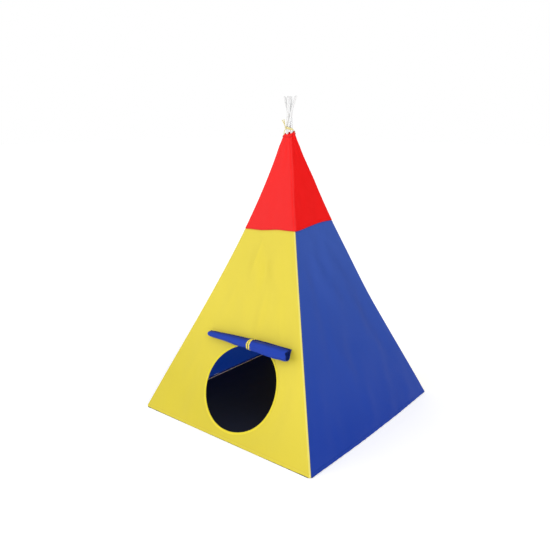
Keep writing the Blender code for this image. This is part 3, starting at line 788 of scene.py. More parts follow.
@dataclass(frozen=True)
class ClothFinish:
    """A woven cloth: its colour, its threads, its creases, its soft shine, a painted sheen and a painted
    inner glow.
    """

    name: str
    colour: Colour
    light: Colour | None = None
    roughness: float = 0.50
    specular: float = 0.31
    lean: float = 0.0
    across: float = 0.0
    pitch: float = 0.0011
    thread_height: float = 0.00004
    crease_height: float = 0.0006
    crease_scale: float = 9.0
    seam_depth: float = 0.7
    through: float = 0.0
    low: float = 0.0
    high: float = 1.0

    def material(self, effects: Effects) -> bpy.types.Material:
        """Builds the finish.

        Args:
            effects: The shared shader groups.

        Returns:
            The material, with a painted sheen that lightens it towards the top of its own height range.
        """
        found = bpy.data.materials.new(self.name)
        found.use_nodes = True
        tree = NodeTree(found.node_tree)
        shader = found.node_tree.nodes["Principled BSDF"]
        place = tree.add("ShaderNodeTexCoord")
        weave = tree.add("ShaderNodeGroup", "threads", node_tree=effects.weave)
        tree.feed(weave, Cloth=place.outputs["UV"], Pitch=self.pitch)
        rumple = tree.add("ShaderNodeGroup", "creases", node_tree=effects.rumple)
        tree.feed(rumple, Place=place.outputs["Object"], Scale=self.crease_scale)
        parts = tree.feed(tree.add("ShaderNodeSeparateXYZ"), Vector=place.outputs["Object"])
        # Painted sheen: the colour blends to its lighter sheen colour up the piece's height.
        rise = tree.math("MULTIPLY_ADD", parts.outputs[1], self.lean, parts.outputs[2])
        rise = tree.math("MULTIPLY_ADD", parts.outputs[0], self.across, rise)
        sheen_share = tree.add("ShaderNodeMapRange", "from low to high")
        tree.feed(sheen_share, Value=rise, From_Min=self.low, From_Max=self.high)
        colour = tree.mix(sheen_share.outputs[0], (*self.colour, 1.0), (*(self.light or self.colour), 1.0))
        patch = tree.math("MULTIPLY_ADD", rumple.outputs["Patch"], 0.10, 0.95)
        tone = tree.math("MULTIPLY_ADD", weave.outputs["Tone"], 0.08, 0.96)
        scale = tree.math("MULTIPLY", patch, tone)
        spread = tree.feed(tree.add("ShaderNodeCombineColor"), in0=scale, in1=scale, in2=scale)
        colour = tree.mix(1.0, colour, spread.outputs[0], "MULTIPLY")
        seams = tree.add("ShaderNodeGroup", node_tree=effects.seams)
        tree.feed(seams, Color=colour, Depth=self.seam_depth)
        threads = tree.math("MULTIPLY", weave.outputs["Height"], self.thread_height)
        height = tree.math("MULTIPLY_ADD", rumple.outputs["Height"], self.crease_height, threads)
        bump = tree.feed(tree.add("ShaderNodeBump"), Height=height, Distance=1.0, Strength=1.0)
        rough = tree.math("MULTIPLY_ADD", rumple.outputs["Patch"], 0.16, self.roughness - 0.08)
        tree.feed(shader, Base_Color=seams.outputs[0], Normal=bump.outputs[0], Roughness=rough)
        tree.feed(shader, Specular_IOR_Level=self.specular)
        # Painted glow: the cloth's colour as emission on its inner face, for daylight through the cloth.
        if self.through:
            inner = tree.feed(tree.add("ShaderNodeGroup", node_tree=effects.inner), Color=colour)
            tree.feed(shader, Emission_Color=inner.outputs[0], Emission_Strength=self.through)
        return found


@dataclass(frozen=True)
class PlasticFinish:
    """Smooth moulded plastic with faint flow marks and scuffs."""

    name: str
    colour: Colour
    roughness: float = 0.32

    def material(self, effects: Effects) -> bpy.types.Material:
        """Builds the finish, with its roughness and relief from the shared rumple group.

        Args:
            effects: The shared shader groups.

        Returns:
            The material.
        """
        found = bpy.data.materials.new(self.name)
        found.use_nodes = True
        tree = NodeTree(found.node_tree)
        shader = found.node_tree.nodes["Principled BSDF"]
        place = tree.add("ShaderNodeTexCoord")
        marks = tree.add("ShaderNodeGroup", "scuffs", node_tree=effects.rumple)
        tree.feed(marks, Place=place.outputs["Object"], Scale=60.0)
        tone = tree.math("MULTIPLY_ADD", marks.outputs["Patch"], 0.06, 0.97)
        spread = tree.feed(tree.add("ShaderNodeCombineColor"), in0=tone, in1=tone, in2=tone)
        colour = tree.mix(1.0, (*self.colour, 1.0), spread.outputs[0], "MULTIPLY")
        rough = tree.math("MULTIPLY_ADD", marks.outputs["Patch"], 0.2, self.roughness - 0.1)
        bump = tree.feed(tree.add("ShaderNodeBump"), Height=marks.outputs["Height"], Distance=0.00003)
        tree.feed(shader, Base_Color=colour, Roughness=rough, Normal=bump.outputs[0])
        return found


class Finishes:
    """Every material of the tent, by name."""

    def __init__(self) -> None:
        """Builds the materials."""
        effects = Effects()
        yellow, blue, red = (0.70, 0.575, 0.030), (0.002, 0.040, 0.360), (0.90, 0.003, 0.003)
        # Each cloth's second colour is the painted sheen it is lightened to up its height range.
        yellow_sheen, blue_sheen = (0.80, 0.66, 0.055), (0.038, 0.094, 0.415)
        flap = (0.016, 0.054, 0.42)
        cloths = (
            ClothFinish("yellow_polyester", yellow, yellow_sheen, through=0.35, across=0.45, high=0.45),
            ClothFinish("blue_polyester", blue, blue_sheen, through=0.34, lean=0.25, high=0.85),
            ClothFinish(
                "blue_flap", flap, roughness=0.60, specular=0.12, crease_height=0.0020, crease_scale=24
            ),
            ClothFinish("red_polyester", red, (0.92, 0.004, 0.003), through=0.35, low=0.9, high=1.3),
            ClothFinish("navy_floor", (0.012, 0.016, 0.034), roughness=0.7, specular=0.15),
            ClothFinish("yellow_binding", (0.84, 0.70, 0.030), roughness=0.55, pitch=0.0016),
            ClothFinish("floor_tape", (0.82, 0.76, 0.68), roughness=0.6, pitch=0.0014),
            ClothFinish("yellow_ribbon", (0.86, 0.72, 0.10), roughness=0.4, pitch=0.0008),
            ClothFinish("cream_ribbon", (0.80, 0.70, 0.30), roughness=0.5, pitch=0.0008),
            ClothFinish("yellow_thread", (0.82, 0.70, 0.16), crease_height=0.0),
            ClothFinish("blue_thread", (0.03, 0.09, 0.40), crease_height=0.0),
            ClothFinish("red_thread", (0.62, 0.01, 0.01), crease_height=0.0),
        )
        self.by_name = {cloth.name: cloth.material(effects) for cloth in cloths}
        self.by_name["white_plastic"] = PlasticFinish("white_plastic", (0.85, 0.85, 0.85)).material(effects)

    def __getitem__(self, name: str) -> bpy.types.Material:
        """The material of that name."""
        return self.by_name[name]

    def side_cloth(self, side: Side) -> tuple[bpy.types.Material, str]:
        """A side's lower cloth: yellow at the front and back, blue at the left and right.

        Args:
            side: The side of the tent.

        Returns:
            Its material and its slot.
        """
        if side in (Side.FRONT, Side.BACK):
            return self["yellow_polyester"], "yellow_cloth"
        return self["blue_polyester"], "blue_cloth"

    def corner_cloth(self, corner: Corner) -> tuple[bpy.types.Material, str]:
        """The cloth of a corner's sleeve and pocket and its slot."""
        return self.side_cloth(Side.FRONT if corner.value % 2 == 0 else Side.RIGHT)


class Stitcher:
    """Sews runs of stitches with one geometry tree, which all of the tent's pieces share."""

    def __init__(self) -> None:
        """Builds the tree."""
        self.sockets: dict[str, str] = {}
        self.tree = self._tree()

    def _tree(self) -> bpy.types.NodeTree:
        """Short rounded threads laid end to end along the edges of the mesh that comes in.

        Returns:
            The geometry tree.
        """
        group = bpy.data.node_groups.new("stitch_run", "GeometryNodeTree")
        group.interface.new_socket("Geometry", in_out="INPUT", socket_type="NodeSocketGeometry")
        kinds = {"Pitch": "Float", "Length": "Float", "Thread": "Float", "Seed": "Int", "Finish": "Material"}
        for label, kind in kinds.items():
            socket = group.interface.new_socket(label, in_out="INPUT", socket_type="NodeSocket" + kind)
            self.sockets[label] = socket.identifier
        group.interface.new_socket("Geometry", in_out="OUTPUT", socket_type="NodeSocketGeometry")
        tree = NodeTree(group)
        given = tree.add("NodeGroupInput")
        curve = tree.feed(tree.add("GeometryNodeMeshToCurve"), Mesh=given.outputs["Geometry"])
        spaced = tree.add("GeometryNodeResampleCurve", "one point a stitch", mode="LENGTH")
        tree.feed(spaced, Curve=curve.outputs[0], Length=given.outputs["Pitch"])
        points = tree.feed(tree.add("GeometryNodeCurveToPoints", mode="EVALUATED"), Curve=spaced.outputs[0])
        facing = tree.add("FunctionNodeAlignRotationToVector", axis="X")
        tree.feed(facing, Vector=points.outputs["Tangent"])
        thread = tree.feed(tree.add("GeometryNodeMeshIcoSphere"), Radius=0.5, Subdivisions=1)
        uneven = tree.add("FunctionNodeRandomValue", "no two alike", data_type="FLOAT")
        tree.feed(uneven, in2=0.85, in3=1.12, Seed=given.outputs["Seed"])
        length = tree.math("MULTIPLY", given.outputs["Length"], uneven.outputs[1])
        size = tree.feed(
            tree.add("ShaderNodeCombineXYZ"), X=length, Y=given.outputs["Thread"], Z=given.outputs["Thread"]
        )
        laid = tree.add("GeometryNodeInstanceOnPoints")
        tree.feed(laid, Points=points.outputs[0], Instance=thread.outputs[0])
        tree.feed(laid, Rotation=facing.outputs[0], Scale=size.outputs[0])
        real = tree.feed(tree.add("GeometryNodeRealizeInstances"), Geometry=laid.outputs[0])
        soft = tree.feed(tree.add("GeometryNodeSetShadeSmooth"), Geometry=real.outputs[0])
        dressed = tree.add("GeometryNodeSetMaterial")
        tree.feed(dressed, Geometry=soft.outputs[0], Material=given.outputs["Finish"])
        tree.feed(tree.add("NodeGroupOutput"), Geometry=dressed.outputs[0])
        return group

    def sew(
        self,
        name: str,
        runs: Sequence[np.ndarray],
        finish: bpy.types.Material,
        mounting: Mounting,
        pitch: float = 0.0036,
        length: float = 0.0028,
        thread: float = 0.0007,
    ) -> bpy.types.Object:
        """Sews along each run and keeps the stitches as one plain mesh.

        Args:
            name: The piece's name.
            runs: Lines of points on the cloth.
            finish: The thread's material.
            mounting: How the stitches are carried.
            pitch: The distance from one stitch to the next.
            length: The length of a stitch.
            thread: The thread's thickness.

        Returns:
            The new object.
        """
        points = np.concatenate(runs)
        edges, start = [], 0
        for run in runs:
            edges += [(start + i, start + i + 1) for i in range(len(run) - 1)]
            start += len(run)
        mesh = bpy.data.meshes.new(name + "_path")
        mesh.from_pydata(points.tolist(), edges, [])
        path = bpy.data.objects.new(name + "_path", mesh)
        bpy.context.scene.collection.objects.link(path)
        modifier = path.modifiers.new("stitches", "NODES")
        modifier.node_group = self.tree
        values = {"Pitch": pitch, "Length": length, "Thread": thread, "Seed": len(runs), "Finish": finish}
        for label, value in values.items():
            modifier[self.sockets[label]] = value
        shaped = path.evaluated_get(bpy.context.evaluated_depsgraph_get())
        sewn = bpy.data.meshes.new_from_object(shaped)
        sewn.name = name
        path.modifiers.remove(modifier)
        bpy.data.objects.remove(path, do_unlink=True)
        obj = bpy.data.objects.new(name, sewn)
        bpy.context.scene.collection.objects.link(obj)
        return mounting.carry(obj)


@dataclass(frozen=True)
class Columns:
    """The lines that a side's cloth is built on, from its first edge to its last.

    share runs -1 to 1 over the flat, offset is the distance into an edge zone, and turn is the angle
    round a corner.
    """

    share: np.ndarray
    offset: np.ndarray
    turn: np.ndarray


@dataclass
class Cover:
    """The sewn cover: four lower sides, four red caps and their stitching."""

    form: TentForm
    finishes: Finishes
    stitcher: Stitcher
    cloth: float = 0.0009
    edge_zone: float = 0.016
    wrap_turn: float = math.radians(58)
    tuck_turn: float = math.radians(50)
    turn_steps: int = 9
    edge_steps: int = 8
    tuck: float = 0.003
    tuck_depth: float = 0.0024
    tuck_width: float = 0.0075
    shade_width: float = 0.0030
    strip_width: float = 0.0080
    hem_height: float = 0.0030
    hem_rounds: tuple[float, float, float, float] = (0.014, 0.0025, 0.004, 0.010)
    hem_fold: float = 0.012
    cap_proud: float = 0.00125
    cap_fold: float = 0.0075
    top_tuck: float = 0.009
    step_in: float = 0.0013
    step_height: float = 0.0065
    casing_height: float = 0.014
    fold_height: float = 0.0035
    fold_low: float = 0.52
    crease_gain: float = 2.3
    panel_keep: float = 0.642
    cap_keep: float = 0.640
    door_u: float = 0.047
    door_height: float = 0.230
    door_radius: float = 0.1953

    CREASES = {
        Side.FRONT: (
            Crease((0.285, 0.41), (0.262, 0.05), 0.045, -0.0032),
            Crease((0.345, 0.52), (0.375, 0.04), 0.050, 0.0030),
            Crease((-0.02, 0.86), (-0.06, 0.66), 0.016, 0.0018),
            Crease((0.02, 0.80), (0.03, 0.56), 0.022, -0.0016),
            Crease((-0.10, 0.66), (-0.19, 0.43), 0.030, 0.0022),
            Crease((0.06, 0.62), (0.055, 0.44), 0.022, 0.0020),
            Crease((0.16, 0.64), (0.24, 0.44), 0.030, -0.0022),
            Crease((-0.21, 0.40), (-0.32, 0.10), 0.034, 0.0022),
            Crease((-0.02, 0.030), (0.24, 0.075), 0.022, -0.0022),
        ),
        Side.RIGHT: (
            Crease((-0.07, 0.86), (-0.16, 0.30), 0.035, -0.0022),
            Crease((0.03, 0.86), (0.02, 0.40), 0.045, 0.0026),
            Crease((0.12, 0.80), (0.30, 0.20), 0.050, -0.0026),
            Crease((-0.25, 0.42), (-0.36, 0.05), 0.040, 0.0022),
            Crease((0.05, 0.36), (0.02, 0.05), 0.060, 0.0018),
        ),
        Side.BACK: (
            Crease((-0.05, 0.86), (-0.20, 0.25), 0.040, 0.0026),
            Crease((0.06, 0.84), (0.18, 0.15), 0.050, -0.0026),
            Crease((0.10, 0.50), (0.32, 0.06), 0.040, 0.0022),
            Crease((-0.12, 0.40), (-0.30, 0.04), 0.035, -0.0020),
        ),
        Side.LEFT: (
            Crease((0.04, 0.86), (0.14, 0.28), 0.040, 0.0026),
            Crease((-0.06, 0.84), (-0.22, 0.12), 0.050, -0.0024),
            Crease((-0.02, 0.45), (0.03, 0.06), 0.045, 0.0020),
        ),
    }
    WAVES = (Waves(11, 0.30, 0.07, 0.0022), Waves(23, 0.06, 0.022, 0.00016, 0.6))
    CAP_WAVES = (Waves(31, 0.16, 0.04, 0.0008), Waves(37, 0.03, 0.012, 0.00008, 0.6))
    DOOR_WAVES = ((-0.0009, -0.0077), (-0.0004, 0.0094), (-0.0019, -0.0004), (-0.0008, -0.0013))

    def edges(self, side: Side) -> tuple[Edge, Edge]:
        """How a side's cloth ends at its first and its last corner.

        Args:
            side: The side of the tent.

        Returns:
            The first and the last edge.
        """
        return {
            Side.FRONT: (Edge.WRAP, Edge.WRAP),
            Side.RIGHT: (Edge.TUCK, Edge.WRAP),
            Side.BACK: (Edge.TUCK, Edge.TUCK),
            Side.LEFT: (Edge.WRAP, Edge.TUCK),
        }[side]

    def turns(self, side: Side) -> tuple[float, float]:
        """How far a side's cloth turns round its first and its last corner."""
        return tuple(self.wrap_turn if edge is Edge.WRAP else self.tuck_turn for edge in self.edges(side))

    def columns(self, side: Side, flat_steps: int) -> Columns:
        """Spaces a side's columns: fine round the corners and near the edges, even between them.

        Args:
            side: The side of the tent.
            flat_steps: Steps across the flat between the edge zones.

        Returns:
            The columns, from the first edge to the last.
        """
        zone = self.edge_zone * (1 - np.linspace(1, 0, self.edge_steps + 1)[1:] ** 1.3)
        parts: list[list[np.ndarray]] = []
        for turned_by, sign in zip(self.turns(side), (-1, 1)):
            around = turned_by * np.linspace(0, 1, self.turn_steps + 1)[1:]
            offset = np.append(zone, np.full(self.turn_steps, self.edge_zone))
            turn = np.append(np.zeros(self.edge_steps), around)
            part = (np.full(len(offset), float(sign)), offset * sign, turn * sign)
            parts.append([column[::sign] for column in part])
        flat = np.linspace(-1, 1, flat_steps + 1)
        level = np.zeros(len(flat))
        joined = zip(parts[0], (flat, level, level), parts[1])
        return Columns(*(np.concatenate(column) for column in joined))

    def folds(self, side: Side, u: np.ndarray, z: np.ndarray) -> np.ndarray:
        """The shallow slanted folds that the lower cloth has under its seam.

        Args:
            side: The side of the tent.
            u: Places along it.
            z: Their heights.

        Returns:
            The folds' relief at each place.
        """
        high = self.form.seam_height - self.form.seam_rise
        share = np.clip((z - self.fold_low) / (high - self.fold_low), 0.0, 1.0)
        s = np.clip(u / self.form.half_width(z), -1.0, 1.0)
        window = np.sin(math.pi * share) ** 2 * (1 - s * s) ** 2
        return self.fold_height * window * np.sin(TAU * (1.6 * s + 0.9 * share + 0.2 * side.value))

    def panel_relief(self, side: Side, u: np.ndarray, z: np.ndarray) -> np.ndarray:
        """How far a side's lower cloth stands out of its smooth form.

        Args:
            side: The side of the tent.
            u: Places along it.
            z: Their heights.

        Returns:
            The relief at each place.
        """
        s = np.clip(u / self.form.half_width(z), -1.0, 1.0)
        held = (1 - s**4) * smooth(z, 0.0, 0.05) * smooth(self.form.seam(side, s) - z, -0.004, 0.07)
        total = self.folds(side, u, z)
        for crease in self.CREASES[side]:
            total = total + self.crease_gain * crease.relief(u, z) * held
        for waves in self.WAVES:
            total = total + waves.relief(u + 1.7 * side.value, z) * held
        total = total + self.form.base_bow(side, s) * np.exp(-((z / 0.11) ** 2))
        hem = np.exp(-((z / 0.018) ** 2)) * (1 - s**6)
        total = total + 0.0006 * hem * np.sin(TAU * u / 0.047 + 3 * np.sin(TAU * u / 0.31 + side.value))
        tug = np.exp(-(((self.form.seam(side, s) - z) / 0.022) ** 2)) * (1 - s**6)
        total = total + 0.00035 * tug * np.sin(TAU * u / 0.023 + 2.2 * np.sin(TAU * u / 0.17 + side.value))
        if side is Side.FRONT:
            total = total * self._round_door(u, z, 0.010, 0.055) + self._door_puckers(u, z)
        return total

    def door_reach(self, angle: np.ndarray) -> np.ndarray:
        """How far the door's cut edge lies from its middle, by the angle round it: a hand-cut circle.

        Args:
            angle: Angles from the door's right, turning upwards.

        Returns:
            The distance at each angle.
        """
        reach = np.full(np.shape(angle), self.door_radius)
        for turns, (level, upright) in enumerate(self.DOOR_WAVES, start=1):
            reach = reach + level * np.cos(turns * angle) + upright * np.sin(turns * angle)
        return reach

    def _door_ring(self, u: np.ndarray, z: np.ndarray) -> tuple[np.ndarray, np.ndarray]:
        """Where places on the front's cloth lie from the door.

        Args:
            u: Places along the front.
            z: Their heights.

        Returns:
            The distance past the door's edge and the angle round its middle.
        """
        rise = (z - self.door_height) * float(self.form.lean(self.door_height))
        angle = np.arctan2(rise, u - self.door_u)
        return np.hypot(u - self.door_u, rise) - self.door_reach(angle), angle

    def _round_door(self, u: np.ndarray, z: np.ndarray, low: float, high: float) -> np.ndarray:
        """Rises from 0.25 at the door's edge, where the binding holds the cloth, to 1 away from it."""
        past, _ = self._door_ring(u, z)
        return 0.25 + 0.75 * smooth(past, low, high)

    def _door_puckers(self, u: np.ndarray, z: np.ndarray) -> np.ndarray:
        """Small puckers that run out from the binding.

        Args:
            u: Places along the front.
            z: Their heights.

        Returns:
            The puckers' relief at each place.
        """
        past, angle = self._door_ring(u, z)
        fade = smooth(past, -0.004, 0.006) * np.exp(-((np.maximum(past, 0.0) / 0.026) ** 2))
        return 0.00045 * fade * np.sin(37 * angle + 3 * np.sin(5 * angle) + 1.2)

    def cap_relief(self, side: Side, u: np.ndarray, z: np.ndarray) -> np.ndarray:
        """How far a cap's cloth stands out of its smooth form.

        Args:
            side: The side of the tent.
            u: Places along it.
            z: Their heights.

        Returns:
            The relief at each place.
        """
        s = np.clip(u / self.form.half_width(z), -1.0, 1.0)
        held = (1 - s**4) * smooth(z, self.form.neck_height, self.form.neck_height - 0.08)
        held = held * smooth(z - self.form.seam(side, s), 0.002, 0.05)
        total = np.zeros(np.broadcast(u, z).shape)
        for waves in self.CAP_WAVES:
            total = total + waves.relief(u + 0.9 * side.value, z) * held
        gather = smooth(z, 1.10, 1.27) * (1 - s**4)
        total = total + 0.0007 * gather * np.sin(TAU * s * 1.5 + side.value)
        tug = np.exp(-(((z - self.form.seam(side, s)) / 0.020) ** 2)) * (1 - s**6)
        return total + 0.0003 * tug * np.sin(TAU * u / 0.021 + 2 * np.sin(TAU * u / 0.13 + side.value))

    def surface(
        self,
        side: Side,
        columns: Columns,
        z: np.ndarray,
        relief: Callable[[Side, np.ndarray, np.ndarray], np.ndarray],
        proud: float | np.ndarray = 0.0,
    ) -> tuple[np.ndarray, np.ndarray, np.ndarray]:
        """Lays cloth over a side.

        Args:
            side: The side of the tent.
            columns: The columns to build on.
            z: Heights by row and column.
            relief: How far the cloth stands out of its smooth form.
            proud: How far it lies out of the cover's own face.

        Returns:
            Its points, its places on the cloth and its distance from its first and last edge.
        """
        form = self.form
        lean = form.lean(z)
        half = form.half_width(z) + proud * lean
        radius = form.corner_radius + proud * lean
        parts = (columns.share, columns.offset, columns.turn)
        share, offset, turn = (np.broadcast_to(part, z.shape) for part in parts)
        reach = form.half_width(z) - form.corner_radius
        u = (reach - self.edge_zone) * share + offset
        gaps, dip = [], np.zeros(z.shape)
        for edge, turned_by, sign in zip(self.edges(side), self.turns(side), (-1, 1)):
            gap = reach - sign * u + form.corner_radius * (turned_by - np.maximum(sign * turn, 0.0))
            gaps.append(gap)
            if edge is Edge.TUCK:
                dip = dip + self.tuck_depth * np.exp(-((gap / self.tuck_width) ** 2)) * lean
        turned = np.abs(turn) > 0
        arm = radius - dip
        out = np.where(turned, half - radius + arm * np.cos(turn), half + relief(side, u, z) - dip)
        across = np.where(turned, np.sign(turn) * (half - radius) + arm * np.sin(turn), u)
        uv = np.stack((u + form.corner_radius * turn, z * lean), -1)
        return form.pulled(form.place(side, across, out, z)), uv, np.stack(gaps)

    def _edge_shade(self, side: Side, gaps: np.ndarray) -> np.ndarray:
        """Painted shade along a tucked edge past the neighbour's wrap, and a painted highlight on the front's
        right edge.

        Args:
            side: The side of the tent.
            gaps: The distance from its first and its last edge, by row and column.

        Returns:
            The share of painted shade by row and column, below 0 for the painted highlight.
        """
        shade = np.zeros(gaps.shape[1:])
        for edge, gap in zip(self.edges(side), gaps):
            if edge is Edge.TUCK:
                past = np.maximum(gap - self.tuck, 0.0)
                shade = np.maximum(shade, np.exp(-((past / self.shade_width) ** 2)))
        # Painted highlight: a pale strip where the front's cloth turns round its right corner.
        if side is Side.FRONT:
            shade = shade - 0.40 * (1 - smooth(gaps[1], self.strip_width - 0.0015, self.strip_width))
        return shade

    def rows(
        self, count: int, low_zone: Sequence[float], high_zone: Sequence[float]
    ) -> tuple[np.ndarray, np.ndarray]:
        """Shares of a height and offsets at its ends, fine in the zones next to its edges.

        Args:
            count: Steps between the zones.
            low_zone: Distances above the low edge.
            high_zone: Distances below the high edge, from the widest to none.

        Returns:
            The share of the span between the zones and the offset added to it, for each row.
        """
        low, high = np.array(low_zone) - self.edge_zone, self.edge_zone - np.array(high_zone)
        share = np.concatenate((np.zeros(len(low)), np.linspace(0, 1, count + 1), np.ones(len(high))))
        return share, np.concatenate((low, np.zeros(count + 1), high))

    def _heights(
        self, low: np.ndarray, high: np.ndarray, share: np.ndarray, offset: np.ndarray
    ) -> np.ndarray:
        """Heights by row and column between two edges."""
        low, high = low + self.edge_zone, high - self.edge_zone
        return low + (high - low) * share[:, None] + offset[:, None]

    def _at(self, columns: Columns) -> np.ndarray:
        """The place across the side of each column, with its turns held at the corner."""
        return columns.share * 0.97 + columns.offset / self.edge_zone * 0.03

    def hem(self, side: Side, columns: Columns) -> np.ndarray:
        """The height of the lower edge, which rounds up towards the corner lines.

        Args:
            side: The side of the tent.
            columns: The columns to read it at.

        Returns:
            The height at each column.
        """
        reach = self.form.base_side / 2 - self.form.corner_radius
        u = (reach - self.edge_zone) * columns.share + columns.offset
        height = self.hem_height + 0.0004 * np.sin(9 * u / reach + 1) * (1 - (u / reach) ** 2)
        for number, sign in ((side.value, -1), ((side.value + 1) % 4, 1)):
            around = math.pi / 4 - np.maximum(sign * columns.turn, 0.0)
            gap = np.abs(reach - sign * u + self.form.corner_radius * around)
            size = self.hem_rounds[number]
            into = 1 - np.clip(gap / size, 0.0, 1.0)
            height = height + size * (1 - np.sqrt(1 - into**2))
        return height

    def build_panel(self, side: Side) -> bpy.types.Object:
        """Builds a side's lower cloth, from its hem to under its cap.

        Args:
            side: The side of the tent.

        Returns:
            The new object.
        """
        columns = self.columns(side, 120)
        s = self._at(columns)
        seam = self.form.seam(side, s)
        low_zone = (0.0, 0.0008, 0.002, 0.004, 0.007, 0.0105, 0.0125)
        share, offset = self.rows(118, low_zone, (0.013, 0.0105, 0.009, 0.0075, 0.006, 0.0045, 0.003, 0.0))
        hem = self.hem(side, columns)
        z = self._heights(hem, seam + self.top_tuck, share, offset)
        above_hem = z - hem
        turned_hem = 0.00045 * (1 - smooth(above_hem, self.hem_fold - 0.001, self.hem_fold + 0.0006))
        step = -self.step_in * smooth(z - seam, -self.step_height, 0.0005)
        points, uv, gaps = self.surface(side, columns, z, self.panel_relief, turned_hem + step)
        # Painted shade along tucked edges and just under the cap's edge, a painted highlight on the front's
        # right edge, and a faint darker line along the hem's fold.
        shade = self._edge_shade(side, gaps)
        shade = shade + 0.35 * smooth(z - seam, -0.0016, 0.0)
        shade = shade + 0.10 * np.exp(-(((above_hem - self.hem_fold) / 0.0012) ** 2))
        cloth, slot = self.finishes.side_cloth(side)
        name = side.label + "_lower_cloth"
        obj = sheet_object(name, points, self.cloth, cloth, uv, shade)
        if side is Side.FRONT:
            self._cut_door(obj)
        keep = self.panel_keep if side.body == COVER_BODY else None
        Mounting(side.body, slot, (side.label + "_panel",), keep).carry(obj)
        hole = math.pi * self.door_radius**2 if side is Side.FRONT else 0.0
        area = self._area(0.0, self.form.seam_height) - hole
        return obj

    def _area(self, low: float, high: float) -> float:
        """The flat area of one side of the cover.

        Args:
            low: The height where it starts.
            high: The height where it ends.

        Returns:
            The area between the two heights.
        """
        z = np.linspace(low, high, 200)
        width = 2 * self.form.half_width(z) * self.form.lean(z)
        return float(np.sum((width[1:] + width[:-1]) / 2 * np.diff(z)))

    def _cut_door(self, obj: bpy.types.Object) -> None:
        """Cuts the round door through the front's lower cloth.

        Args:
            obj: The front's lower cloth.
        """
        outward, upward = self.form.axes(Side.FRONT, self.door_height)
        centre = self.form.place(
            Side.FRONT, self.door_u, self.form.half_width(self.door_height), np.float64(self.door_height)
        )
        angle = np.linspace(0, TAU, 160, endpoint=False)[:, None]
        ring = centre + self.door_reach(angle) * (np.cos(angle) * Side.FRONT.along + np.sin(angle) * upward)
        rings = np.stack((ring - 0.05 * outward, ring + 0.05 * outward))
        cutter = loft_object("door_cutter", rings, self.finishes["yellow_polyester"])
        boolean = obj.modifiers.new("door", "BOOLEAN")
        boolean.operation = "DIFFERENCE"
        boolean.object = cutter
        shaped = obj.evaluated_get(bpy.context.evaluated_depsgraph_get())
        mesh = bpy.data.meshes.new_from_object(shaped)
        obj.modifiers.remove(boolean)
        old = obj.data
        obj.data = mesh
        bpy.data.meshes.remove(old)
        bpy.data.objects.remove(cutter, do_unlink=True)

    def build_cap(self, side: Side) -> bpy.types.Object:
        """Builds a side's red cap, its lower edge turned under and laid over the lower cloth.

        Args:
            side: The side of the tent.

        Returns:
            The new object.
        """
        columns = self.columns(side, 44)
        s = self._at(columns)
        low = self.form.seam(side, s)
        high = self.form.neck(side, s) - self.casing_height + 0.0040
        share, offset = self.rows(84, (0.0, 0.0006, 0.0015, 0.003, 0.005, 0.0068, 0.0082), (0.008, 0.0))
        z = self._heights(low, high, share, offset)
        above = z - low
        fold = 0.00035 * (1 - smooth(above, self.cap_fold - 0.0008, self.cap_fold + 0.0006))
        drop = -0.0006 * smooth(z - high, -0.012, 0.0)
        points, uv, gaps = self.surface(side, columns, z, self.cap_relief, self.cap_proud + fold + drop)
        # Painted shade: faint along tucked edges, and a dark line along the turned lower edge.
        shade = 0.12 * np.maximum(self._edge_shade(side, gaps), 0.0)
        shade = np.maximum(shade, 0.50 * (1 - smooth(above, 0.0006, 0.0032)))
        red = self.finishes["red_polyester"]
        obj = sheet_object(side.label + "_cap_cloth", points, self.cloth, red, uv, shade)
        keep = self.cap_keep if side.body == COVER_BODY else None
        Mounting(side.body, "red_cloth", (side.label + "_cap",), keep).carry(obj)
        area = self._area(self.form.seam_height, self.form.neck_height)
        return obj

    def line(
        self,
        side: Side,
        share: np.ndarray,
        z: np.ndarray,
        relief: Callable[[Side, np.ndarray, np.ndarray], np.ndarray],
        proud: float,
        turn: np.ndarray | None = None,
    ) -> np.ndarray:
        """A line of points laid on a side's cloth, for stitches.

        Args:
            side: The side of the tent.
            share: The place of each point across the flat, -1 to 1.
            z: Their heights.
            relief: The cloth's relief there.
            proud: How far they lie out of the cover's own face.
            turn: Angles round a corner, for a line on a wrap.

        Returns:
            The points.
        """
        offset = self.edge_zone * np.where(np.abs(share) >= 1, np.sign(share), 0.0)
        angle = np.zeros(len(share)) if turn is None else turn
        columns = Columns(share, offset, angle)
        return self.surface(side, columns, z[None, :], relief, proud)[0][0]

